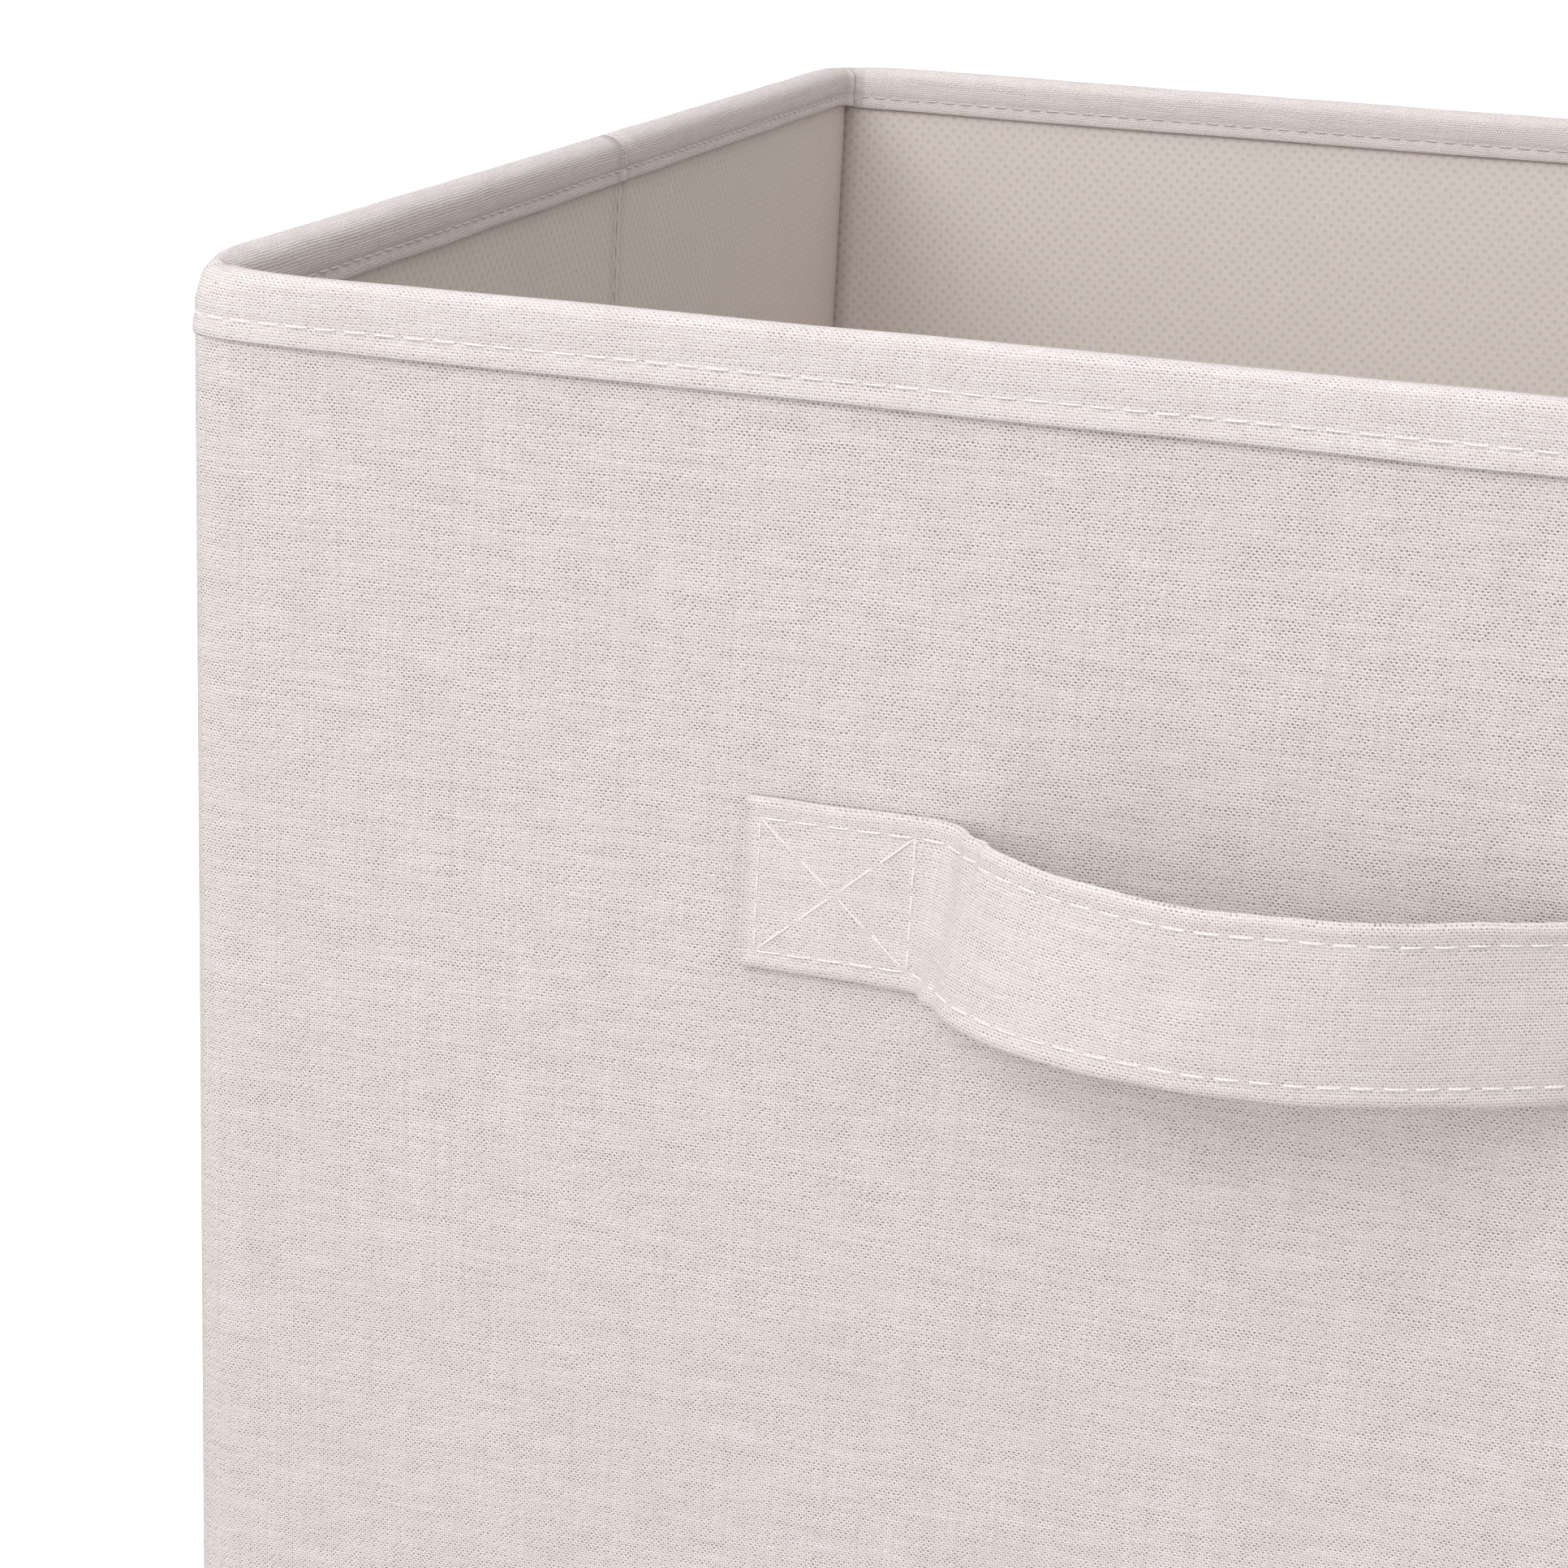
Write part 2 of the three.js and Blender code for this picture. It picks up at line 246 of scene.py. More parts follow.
def build_weave_group():
    """Plain weave over the cloth's own lengths: yarn height, open gaps between yarns, and yarn tone."""
    group, entry, leave = node_group(
        "linen_weave",
        [
            ("Warp pitch", "NodeSocketFloat", 0.365 * MM),
            ("Weft pitch", "NodeSocketFloat", 0.43 * MM),
            ("Openness", "NodeSocketFloat", 1.0),
        ],
        [(label, "NodeSocketFloat") for label in ("Height", "Gap", "Tone", "Mottle")],
    )
    w = Wiring(group)
    place = w.node("ShaderNodeUVMap", uv_map="cloth")
    split = w.node("ShaderNodeSeparateXYZ", {"Vector": place.outputs[0]})
    x, y = split.outputs[0], split.outputs[1]
    # Yarns wander a little, so no row is ruler straight.
    drift_u = w.noise(w.combine(x, w.times(y, 0.3)), DRIFT_SCALE, 3.0)
    drift_v = w.noise(w.combine(w.times(x, 0.3), y, 3.7), DRIFT_SCALE, 3.0)
    u = w.math("ADD", w.math("DIVIDE", x, entry.outputs["Warp pitch"]), w.times(drift_u, WARP_DRIFT))
    v = w.math("ADD", w.math("DIVIDE", y, entry.outputs["Weft pitch"]), w.times(drift_v, WEFT_DRIFT))
    wander = w.node("ShaderNodeTexNoise", {"Vector": w.combine(x, y, 6.6), "Scale": 900.0, "Detail": 1.0})
    wander = w.node("ShaderNodeSeparateXYZ", {"Vector": wander.outputs["Color"]})
    u = w.math("MULTIPLY_ADD", wander.outputs[0], 0.3, u)
    v = w.math("MULTIPLY_ADD", wander.outputs[1], 0.45, v)
    # A weft yarn shows as a long grain over every second warp yarn, set over by one in the next row.
    line = w.math("ROUND", v)
    from_line = w.math("SUBTRACT", v, line)
    along = w.math("MULTIPLY_ADD", w.math("PINGPONG", line, 1.0), 0.5, w.times(u, 0.5))
    grain_index = w.math("ROUND", along)
    from_grain = w.times(w.math("SUBTRACT", along, grain_index), 2.0)
    across_line = w.round_over(from_line, -3.6)
    swell = w.math("MULTIPLY_ADD", w.math("COSINE", w.times(from_grain, math.pi)), 0.5, 0.5)
    weft = w.times(across_line, w.math("POWER", swell, 0.55))
    side = w.math("SUBTRACT", 1.0, w.math("ABSOLUTE", from_grain))
    across_warp = w.round_over(side, -4.2)
    warp_swell = w.math("MULTIPLY_ADD", w.math("COSINE", w.times(from_line, 3.4)), 0.45, 0.5)
    warp = w.times(across_warp, w.math("POWER", warp_swell, 0.6))
    own = w.chance(grain_index, line)
    height = w.math("MAXIMUM", weft, warp)
    # The holes lie between the rows, wider than they are tall, and no two are open alike.
    gap_row = w.math("FLOOR", v)
    from_row = w.math("SUBTRACT", w.math("SUBTRACT", v, gap_row), 0.5)
    odd_row = w.math("PINGPONG", gap_row, 1.0)
    place_in_row = w.math("MULTIPLY_ADD", odd_row, 0.5, w.math("MULTIPLY_ADD", u, 0.5, 0.25))
    gap_index = w.math("ROUND", place_in_row)
    from_gap = w.times(w.math("SUBTRACT", place_in_row, gap_index), 2.0)
    reach = w.math(
        "SQRT",
        w.math(
            "ADD",
            w.math("POWER", w.math("DIVIDE", from_gap, HOLE_WIDTH), 2.0),
            w.math("POWER", w.math("DIVIDE", from_row, HOLE_HEIGHT), 2.0),
        ),
    )
    hole = w.math("SUBTRACT", 1.0, reach, clamp=True)
    chance = w.chance(gap_index, gap_row)
    patchy = w.noise(w.combine(x, w.times(y, 1.8), 9.1), 170.0, 3.0, 0.6)
    strength = w.math("MULTIPLY_ADD", w.math("POWER", chance, 1.5), 1.25, 0.45)
    strength = w.times(strength, w.remap(patchy, 0.3, 0.7, 0.55, 1.25))
    thin = w.noise(w.combine(w.times(x, 95.0), w.times(gap_row, 0.6), 4.4), 1.0, 2.0, 0.6)
    strength = w.times(strength, w.remap(thin, 0.3, 0.66, 0.6, 1.35))
    gap = w.times(w.times(hole, strength), entry.outputs["Openness"])
    gap = w.remap(gap, 0.05, 0.85)
    # Slubs: each yarn changes thickness and tone along its length, the weft more than the warp.
    slub_weft = w.noise(w.combine(w.times(x, 75.0), w.times(line, 0.7)), 1.0, 3.0, 0.6)
    column = w.math("ROUND", u)
    slub_warp = w.noise(w.combine(w.times(column, 0.7), w.times(y, 30.0), 5.3), 1.0, 2.0)
    tone = w.math("ADD", w.times(slub_weft, 0.62), w.times(slub_warp, 0.38))
    tone = w.math("ADD", w.times(tone, 0.8), w.times(own, 0.2))
    # The tone leans lighter where the warp floats stand higher than the weft: a painted highlight on the
    # raised warp ridges.
    tone = w.math("MULTIPLY_ADD", w.math("SUBTRACT", warp, weft), 0.1, tone)
    mottle = w.noise(w.combine(w.times(x, 0.5), y, 1.3), 60.0, 4.0, 0.62)
    w.set(leave.inputs["Height"], height)
    w.set(leave.inputs["Gap"], gap)
    w.set(leave.inputs["Tone"], tone)
    w.set(leave.inputs["Mottle"], mottle)
    return group


def build_fuzz_group():
    """Fine loose fibres: short bright streaks lying every way over the yarns."""
    group, entry, leave = node_group(
        "loose_fibres", [("Amount", "NodeSocketFloat", 0.5)], [("Mask", "NodeSocketFloat")]
    )
    w = Wiring(group)
    place = w.node("ShaderNodeUVMap", uv_map="cloth")
    one = w.noise(w.laid(place.outputs[0], (900, 5200), 0.7), 1.0, 1.0)
    two = w.noise(w.laid(place.outputs[0], (800, 4800), -0.5), 1.0, 1.0)
    both = w.math("MAXIMUM", w.remap(one, 0.6, 0.78), w.remap(two, 0.62, 0.8))
    w.set(leave.inputs["Mask"], w.times(both, entry.outputs["Amount"]))
    return group


def build_nonwoven_group():
    """Spun-bonded cloth: a diagonal grid of small pressed dots among fine random fibres."""
    group, entry, leave = node_group(
        "spun_bonded",
        [("Dot pitch", "NodeSocketFloat", 3.1 * MM)],
        [(label, "NodeSocketFloat") for label in ("Height", "Dot", "Fibre", "Mottle")],
    )
    w = Wiring(group)
    place = w.node("ShaderNodeUVMap", uv_map="cloth")
    split = w.node("ShaderNodeSeparateXYZ", {"Vector": place.outputs[0]})
    x, y = split.outputs[0], split.outputs[1]
    u = w.math("DIVIDE", w.math("ADD", x, y), entry.outputs["Dot pitch"])
    v = w.math("DIVIDE", w.math("SUBTRACT", x, y), entry.outputs["Dot pitch"])
    wave_u = w.math("COSINE", w.times(u, math.tau))
    wave_v = w.math("COSINE", w.times(v, math.tau))
    wave = w.math("ADD", wave_u, wave_v)
    dot = w.remap(wave, 0.45, 1.35)
    fibre = w.noise(w.laid(place.outputs[0], (1400, 5200)), 1.0, 3.0, 0.6)
    crossed = w.noise(w.laid(place.outputs[0], (1300, 4300), 1.1), 1.0, 3.0, 0.6)
    fibre = w.math("MAXIMUM", fibre, crossed)
    height = w.math("SUBTRACT", w.times(fibre, 0.4), w.times(dot, 0.6))
    w.set(leave.inputs["Height"], height)
    w.set(leave.inputs["Dot"], dot)
    w.set(leave.inputs["Fibre"], fibre)
    w.set(leave.inputs["Mottle"], w.noise(place.outputs[0], 45.0, 4.0, 0.6))
    return group


WEAVE = build_weave_group()
FUZZ = build_fuzz_group()
NONWOVEN = build_nonwoven_group()


def new_material(name, preview):
    material = bpy.data.materials.new(name)
    material.use_nodes = True
    material.diffuse_color = preview
    shader = material.node_tree.nodes["Principled BSDF"]
    return material, Wiring(material.node_tree), shader


def woven_material(name, light, shade, gap_shade_colour, fuzz, openness):
    """Linen-look cloth in light and shade yarns, with loose fibres, and with painted shade in the gaps and
    valleys between the yarns.
    """
    material, w, shader = new_material(name, (*light[:3], 1))
    weave = w.node("ShaderNodeGroup", node_tree=WEAVE)
    weave.inputs["Openness"].default_value = openness
    fibres = w.node("ShaderNodeGroup", node_tree=FUZZ)
    fibres.inputs["Amount"].default_value = fuzz
    tone = w.remap(weave.outputs["Tone"], 0.37, 0.6)
    colour = w.mix(tone, shade, light)
    colour = w.mix(w.remap(weave.outputs["Mottle"], 0.35, 0.7, 0.0, 0.3), colour, shade)
    # Painted shade: the cloth is darkened toward a dimmer copy of the shade yarn in the low valleys between
    # the raised yarns.
    valley_shade = w.remap(weave.outputs["Height"], 0.85, 0.3, 0.0, 0.58)
    colour = w.mix(valley_shade, colour, tuple(c * 0.74 for c in shade[:3]) + (1,))
    # Painted shade: the open gaps between the yarns are filled with a dark colour.
    colour = w.mix(w.times(weave.outputs["Gap"], 0.95), colour, gap_shade_colour)
    colour = w.mix(w.times(fibres.outputs["Mask"], 0.5), colour, (0.93, 0.9, 0.88, 1))
    height = w.math("SUBTRACT", weave.outputs["Height"], w.times(weave.outputs["Gap"], 0.5))
    height = w.math("ADD", height, w.times(fibres.outputs["Mask"], 0.3))
    w.set(shader.inputs["Base Color"], colour)
    w.set(shader.inputs["Roughness"], w.remap(weave.outputs["Height"], 0.1, 0.9, 0.98, 0.8))
    w.bump(shader, height, 0.75, 0.16 * MM)
    shader.inputs["Specular IOR Level"].default_value = 0.25
    shader.inputs["Sheen Weight"].default_value = 0.12
    shader.inputs["Sheen Roughness"].default_value = 0.6
    return material


def lining_material():
    material, w, shader = new_material("lining_nonwoven", (0.55, 0.49, 0.45, 1))
    cloth = w.node("ShaderNodeGroup", node_tree=NONWOVEN)
    base = (0.78, 0.72, 0.68, 1)
    dark = (0.66, 0.60, 0.56, 1)
    colour = w.mix(w.remap(cloth.outputs["Fibre"], 0.4, 0.75), dark, base)
    # The pressed dots are darker: partly the denser fibre of each pressed spot, partly painted shade in its
    # hollow.
    colour = w.mix(w.times(cloth.outputs["Dot"], 0.4), colour, (0.5, 0.44, 0.4, 1))
    colour = w.mix(w.remap(cloth.outputs["Mottle"], 0.35, 0.7, 0.0, 0.25), colour, dark)
    w.set(shader.inputs["Base Color"], colour)
    w.set(shader.inputs["Roughness"], w.remap(cloth.outputs["Dot"], 0.0, 1.0, 0.92, 0.7))
    w.bump(shader, cloth.outputs["Height"], 0.6, 0.12 * MM)
    shader.inputs["Specular IOR Level"].default_value = 0.3
    return material


def thread_material(name, dark, light):
    material, w, shader = new_material(name, light)
    place = w.node("ShaderNodeUVMap", uv_map="cloth")
    own_lengths = {"Vector": place.outputs[0], "Scale": 900.0}
    twist = w.node("ShaderNodeTexWave", own_lengths, bands_direction="DIAGONAL")
    # Painted shade: the twist's darker bands stand for the shade in the grooves between the thread's plies.
    colour = w.mix(w.remap(twist.outputs["Fac"], 0.2, 0.8), dark, light)
    w.set(shader.inputs["Base Color"], colour)
    w.set(shader.inputs["Roughness"], w.remap(twist.outputs["Fac"], 0.0, 1.0, 0.55, 0.38))
    w.bump(shader, twist.outputs["Fac"], 0.4, 0.04 * MM)
    shader.inputs["Sheen Weight"].default_value = 0.2
    return material


def board_material():
    material, w, shader = new_material("grey_fibreboard", (0.42, 0.38, 0.33, 1))
    place = w.node("ShaderNodeTexCoord")
    flecks = w.noise(place.outputs["Object"], 900.0, 5.0, 0.7)
    broad = w.noise(place.outputs["Object"], 60.0, 3.0, 0.5)
    colour = w.mix(w.remap(flecks, 0.35, 0.65), (0.34, 0.30, 0.26, 1), (0.48, 0.44, 0.39, 1))
    colour = w.mix(w.remap(broad, 0.3, 0.7, 0.0, 0.3), colour, (0.30, 0.27, 0.24, 1))
    w.set(shader.inputs["Base Color"], colour)
    w.set(shader.inputs["Roughness"], w.remap(flecks, 0.3, 0.7, 0.75, 0.95))
    w.bump(shader, flecks, 0.3, 0.1 * MM)
    return material


COVER_CLOTH = woven_material(
    "cover_linen",
    light=(0.84, 0.78, 0.775, 1),
    shade=(0.69, 0.62, 0.605, 1),
    gap_shade_colour=(0.24, 0.185, 0.16, 1),
    fuzz=0.3,
    openness=1.0,
)
BINDING_CLOTH = woven_material(
    "binding_linen",
    light=(0.86, 0.805, 0.8, 1),
    shade=(0.73, 0.665, 0.65, 1),
    gap_shade_colour=(0.34, 0.275, 0.25, 1),
    fuzz=0.7,
    openness=0.8,
)
HANDLE_CLOTH = woven_material(
    "handle_linen",
    light=(0.84, 0.78, 0.77, 1),
    shade=(0.71, 0.64, 0.62, 1),
    gap_shade_colour=(0.32, 0.255, 0.225, 1),
    fuzz=0.6,
    openness=0.8,
)
LINING_CLOTH = lining_material()
THREAD = thread_material("thread_white", (0.76, 0.72, 0.7, 1), (0.9, 0.87, 0.86, 1))
INNER_THREAD = thread_material("thread_inner", (0.56, 0.5, 0.47, 1), (0.72, 0.66, 0.63, 1))
SEAM_THREAD = thread_material("thread_seam", (0.26, 0.22, 0.19, 1), (0.4, 0.35, 0.32, 1))
BOARD = board_material()


# ==== Making meshes ==============================================================================
def clamped(value):
    return max(0.0, min(1.0, value))


def smooth(value):
    t = clamped(value)
    return t * t * (3 - 2 * t)


def near(off, width):
    """1 on a line, falling off smoothly over about that width to either side."""
    return math.exp(-((off / width) ** 2))


def up_the_band(up):
    """0 at the rim band's lower edge, 1 at its top."""
    return clamped((up - BAND_LOW) / BAND_HEIGHT)


def mesh_object(name, points, faces, places, material, flat_faces=0):
    """places holds one (along, up) pair for each point: the cloth's own lengths, kept for its weave.

    The last flat_faces faces are cut ends, which don't share the shading of the cloth's face.
    """
    mesh = bpy.data.meshes.new(name)
    mesh.from_pydata(points, [], faces)
    layer = mesh.uv_layers.new(name="cloth")
    for loop in mesh.loops:
        layer.data[loop.index].uv = places[loop.vertex_index]
    rounded = len(mesh.polygons) - flat_faces
    mesh.polygons.foreach_set("use_smooth", [i < rounded for i in range(len(mesh.polygons))])
    mesh.materials.append(material)
    mesh.update()
    made = bpy.data.objects.new(name, mesh)
    bpy.context.scene.collection.objects.link(made)
    return made


class Station:
    """One place along a path in plan: where it is, which way is outward, and how far along the cloth.

    inner, where given, is the point that the section's innermost depth falls on, as at a corner.
    """

    def __init__(self, x, y, out_x, out_y, along=0.0, inner=None):
        self.x = x
        self.y = y
        self.out = (out_x, out_y)
        self.along = along
        self.inner = inner

    def at(self, out):
        """The plan position that far outward, or inward where out is below 0."""
        if self.inner is None or out >= 0:
            return self.x + self.out[0] * out, self.y + self.out[1] * out
        share = -out / INNER_DEPTH
        return self.x + (self.inner[0] - self.x) * share, self.y + (self.inner[1] - self.y) * share


def measured(stations, start=0.0):
    """Gives each station its distance along the path."""
    total = start
    last = None
    for s in stations:
        if last is not None:
            total += math.hypot(s.x - last.x, s.y - last.y)
        s.along = total
        last = s
    return stations


def straight(x0, y0, x1, y1, out, step=GRID, ends=True):
    length = math.hypot(x1 - x0, y1 - y0)
    count = max(1, round(length / step))
    first = 0 if ends else 1
    steps = range(first, count + 1)
    return [Station(x0 + (x1 - x0) * i / count, y0 + (y1 - y0) * i / count, *out) for i in steps]


def arc(cx, cy, radius, start, end, count):
    """Stations round an arc, without its first point."""
    made = []
    for i in range(1, count + 1):
        a = start + (end - start) * i / count
        made.append(Station(cx + radius * math.cos(a), cy + radius * math.sin(a), math.cos(a), math.sin(a)))
    return made


def sweep(name, stations, section, material, shape=None):
    """Carries a closed section along a path. The section's points are (out, up, round the section).

    shape(station, out, up) may move a point: it returns the new (out, up).
    """
    points, places, faces = [], [], []
    rows = len(section)
    for s in stations:
        for out, up, across in section:
            moved_out, moved_up = shape(s, out, up) if shape else (out, up)
            points.append((*s.at(moved_out), moved_up))
            places.append((s.along, across))
    count = len(stations)
    for i in range(count - 1):
        a = i * rows
        b = a + rows
        for j in range(rows):
            k = (j + 1) % rows
            faces.append((a + j, b + j, b + k, a + k))
    faces.append(tuple(range(rows)))
    faces.append(tuple(reversed(range((count - 1) * rows, count * rows))))
    return mesh_object(name, points, faces, places, material, flat_faces=2)


def closed_ring(name, path, section, turn, rising, half, material):
    """A closed section carried once round a path, with a flat fan from its middle on both faces.

    turn is the section's last point before the flat part, rising says whether the section's outer
    face runs upward, and half is the outline's half size, which its rounded corners stay inside.
    """
    points, places, faces = [], [], []
    rows = len(section)
    for s in path:
        for out, z in section:
            x, y = s.at(out)
            reach_x, reach_y = half[0] + out, half[1] + out
            points.append((max(-reach_x, min(reach_x, x)), max(-reach_y, min(reach_y, y)), z))
            places.append((s.along, z))
    count = len(path)
    for i in range(count):
        a, b = i * rows, ((i + 1) % count) * rows
        for j in range(rows):
            k = (j + 1) % rows
            if j != turn:
                faces.append((a + j, b + j, b + k, a + k) if rising else (a + j, a + k, b + k, b + j))
    for level, upward in ((turn, rising), (turn + 1, not rising)):
        ring = [i * rows + level for i in range(count)]
        centre = len(points)
        points.append((0, 0, points[ring[0]][2]))
        places.append((0, 0))
        for a, b in zip(ring, ring[1:] + ring[:1]):
            faces.append((a, b, centre) if upward else (b, a, centre))
    return mesh_object(name, points, faces, places, material)


def lay_flat(made, is_flat):
    """Where is_flat(height) holds, the cloth's own lengths are its place in plan."""
    places = made.data.uv_layers["cloth"].data
    for loop in made.data.loops:
        co = made.data.vertices[loop.vertex_index].co
        if is_flat(co.z):
            places[loop.index].uv = (co.x, co.y)


def outline(half_x, half_y, radius, turns, step=GRID):
    """A rectangle with rounded corners, once round, with outward on the path's right."""
    x, y = half_x - radius, half_y - radius
    quarter = 0.5 * math.pi
    path = straight(-x, -half_y, x, -half_y, (0, -1), step=step)
    path += arc(x, -y, radius, -quarter, 0, turns)
    path += straight(half_x, -y, half_x, y, (1, 0), step=step, ends=False)
    path += arc(x, y, radius, 0, quarter, turns)
    path += straight(x, half_y, -x, half_y, (0, 1), step=step, ends=False)
    path += arc(-x, y, radius, quarter, math.pi, turns)
    path += straight(-half_x, y, -half_x, -y, (-1, 0), step=step, ends=False)
    path += arc(-x, -y, radius, math.pi, 3 * quarter, turns)[:-1]
    return measured(path)


def panel_section(low, high, outer, thickness, step=GRID):
    """A thin upright sheet's section with turned edges: outer face going up, inner face coming down."""
    count = max(2, round((high - low) / step))
    radius = thickness / 2
    heights = [low + (high - low) * i / count for i in range(count + 1)]
    section = [(outer - radius * 0.35, low, low)]
    section += [(outer, z, z) for z in [low + radius * 0.7] + heights[1:-1] + [high - radius * 0.7]]
    section += [(outer - radius * 0.35, high, high), (outer - thickness + radius * 0.35, high, high)]
    down = [high - radius * 0.7] + heights[-2:0:-1] + [low + radius * 0.7]
    section += [(outer - thickness, z, z) for z in down]
    section += [(outer - thickness + radius * 0.35, low, low)]
    return section


def binding_section(wall):
    """The folded strip's section over a wall that thick, from its outer lower edge round to its inner one."""
    out = RIM_OUT
    inner = -wall - RIM_OUT
    mid = (out + inner) / 2
    half = (out - inner) / 2
    crown = 0.78 * half
    top = RIM_TOP
    t = BINDING_T
    outer_leg = [
        (out - 0.10 * MM, BAND_LOW + 0.02 * MM),
        (out + 0.03 * MM, BAND_LOW + 0.35 * MM),
        (out, BAND_LOW + 1.6 * MM),
        (out - 0.16 * MM, BAND_LOW + RIM_STITCH_UP - 0.5 * MM),
        (out - 0.26 * MM, BAND_LOW + RIM_STITCH_UP),
        (out - 0.14 * MM, BAND_LOW + RIM_STITCH_UP + 0.6 * MM),
        (out + 0.02 * MM, BAND_LOW + RIM_STITCH_UP + 1.8 * MM),
        (out + 0.03 * MM, BAND_LOW + 0.65 * (top - BAND_LOW)),
    ]
    turn = []
    steps = 16
    for i in range(steps + 1):
        a = math.pi * i / steps
        side = math.copysign(abs(math.cos(a)) ** 0.86, math.cos(a))
        inward = 0.5 - 0.5 * side
        height = top - crown + crown * math.sin(a) ** 0.86 - CROWN_SLOPE * inward**1.6
        turn.append((mid + half * side, height))
    inner_leg = [(2 * mid - o, z) for o, z in reversed(outer_leg)]
    inner_leg[0] = (inner_leg[0][0], inner_leg[0][1] - 0.4 * CROWN_SLOPE)
    face = outer_leg + turn + inner_leg
    back = []
    for o, z in reversed(face):
        toward = 1 if o > mid else -1
        rise = max(0.0, (z - (top - crown)) / crown)
        side = math.sqrt(max(0.0, 1 - rise * rise))
        back.append((o - toward * t * side, z - t * rise))
    section = []
    length = 0.0
    last = None
    for o, z in face:
        if last is not None:
            length += math.hypot(o - last[0], z - last[1])
        section.append((o, z, BAND_LOW + length))
        last = (o, z)
    low_back = [(o, max(z, BAND_LOW + 0.12 * MM), z) for o, z in back]
    return section + low_back


def mirrored(stations, flip_x, flip_y):
    """The same path on another side of the bin, run so that outward stays outward."""
    made = []
    for s in stations:
        inner = s.inner and (s.inner[0] * flip_x, s.inner[1] * flip_y)
        out_x, out_y = s.out
        made.append(Station(s.x * flip_x, s.y * flip_y, out_x * flip_x, out_y * flip_y, s.along, inner))
    return made if flip_x * flip_y > 0 else made[::-1]


def corner_arc(reach_x, reach_y, steps=16):
    """The front-left corner as a quarter of an oval, from the side to the front, with its inner points."""
    made = []
    soft_depth = INNER_DEPTH + CORNER_SOFT
    for i in range(steps + 1):
        a = 0.5 * math.pi * i / steps
        x = -HALF_W + reach_x * (1 - math.cos(a))
        y = -HALF_D + reach_y * (1 - math.sin(a))
        lean_x, lean_y = math.cos(a) / reach_x, math.sin(a) / reach_y
        length = math.hypot(lean_x, lean_y)
        inner = (-HALF_W + soft_depth + (reach_x - soft_depth) * (1 - math.cos(a)), -HALF_D + INNER_DEPTH)
        made.append(Station(x, y, -lean_x / length, -lean_y / length, inner=inner))
    return made


def face_path():
    """Round the front-left corner, along the front and round the front-right corner."""
    left = corner_arc(CORNER_REACH, HALF_D - FACE_END)
    right = [Station(-s.x, s.y, -s.out[0], s.out[1], inner=(-s.inner[0], s.inner[1])) for s in left[::-1]]
    start = left[-1].x
    middle = straight(start, -HALF_D, -start, -HALF_D, (0, -1), ends=False)[:-1]
    return measured(left + middle + right, -HALF_W)


def side_path(near_corner=FACE_END, near_crease=CREASE_HALF, soft=False):
    """The left side's front half, from the crease to the corner, so that outward is on the path's right."""
    path = straight(-HALF_W, -near_crease, -HALF_W, -BEND_END, (-1, 0))
    bend = straight(-HALF_W, -BEND_END, -HALF_W, -near_corner, (-1, 0), step=BEND_GRID, ends=False)
    if soft:
        for s in bend:
            share = (-s.y - BEND_END) / (FACE_END - BEND_END)
            s.inner = (-HALF_W + INNER_DEPTH + CORNER_SOFT * share * share, s.y)
    return measured(path + bend, near_crease)


def crease_path():
    path = straight(-HALF_W, CREASE_HALF, -HALF_W, -CREASE_HALF, (-1, 0), step=CREASE_GRID)
    return measured(path, -CREASE_HALF)


SIDES = {
    "left_front": (1, 1),
    "left_back": (1, -1),
    "right_front": (-1, 1),
    "right_back": (-1, -1),
}


def follow(piece, rider):
    """Puts a piece on its body; given two bodies and their points instead, it only fixes the piece in place
    where it is built.
    """
    if isinstance(rider, str):
        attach(piece, rider)
    else:
        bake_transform(piece)


def hold(piece, rider, replaced=()):
    """Puts a piece where it belongs, and hides the nodes it stands for."""
    follow(piece, rider)
    if replaced:
        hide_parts(*replaced)


def side_rider(side):
    """The rider for a side half's cloth: its own body, or the face wall, the half and the two ends of the
    corner gap between them.
    """
    flip_x, flip_y = SIDES[side]
    body = f"{side}_half"
    face = "front" if flip_y > 0 else "back"
    if side == "right_back":
        return body
    x = -HALF_W * flip_x
    return (face, body, (x, -FACE_END * flip_y, 0), (x, -BEND_END * flip_y, 0))


# ==== Covers =====================================================================================
def seam_groove(s, out, up):
    """The sewn line down each corner, and the soft unevenness of the cloth."""
    seam_x = HALF_W - CORNER_REACH * (1 - math.cos(CORNER_SEAM))
    off = abs(s.x) - seam_x
    depth = SEAM_DEPTH * near(off, SEAM_WIDTH) - SEAM_LIP * near(off - SEAM_LIP_OFF, SEAM_LIP_WIDTH)
    inland = clamped((HALF_W - abs(s.x)) / (20 * MM))
    wave = CLOTH_WAVE * noise.noise(Vector((s.x * 22, up * 26, s.y * 5))) * inland
    if out > -COVER_T * 0.6:
        out -= depth
    return under_rim(s, out + wave * WAVE_SHOWN, up), up


def side_unevenness(s, out, up):
    inland = clamped(min(abs(s.y) - CREASE_HALF, FACE_END - abs(s.y)) / (18 * MM))
    wave = CLOTH_WAVE * noise.noise(Vector((s.x * 5, up * 26, s.y * 22)))
    return under_rim(s, out + wave * inland * WAVE_SHOWN, up), up


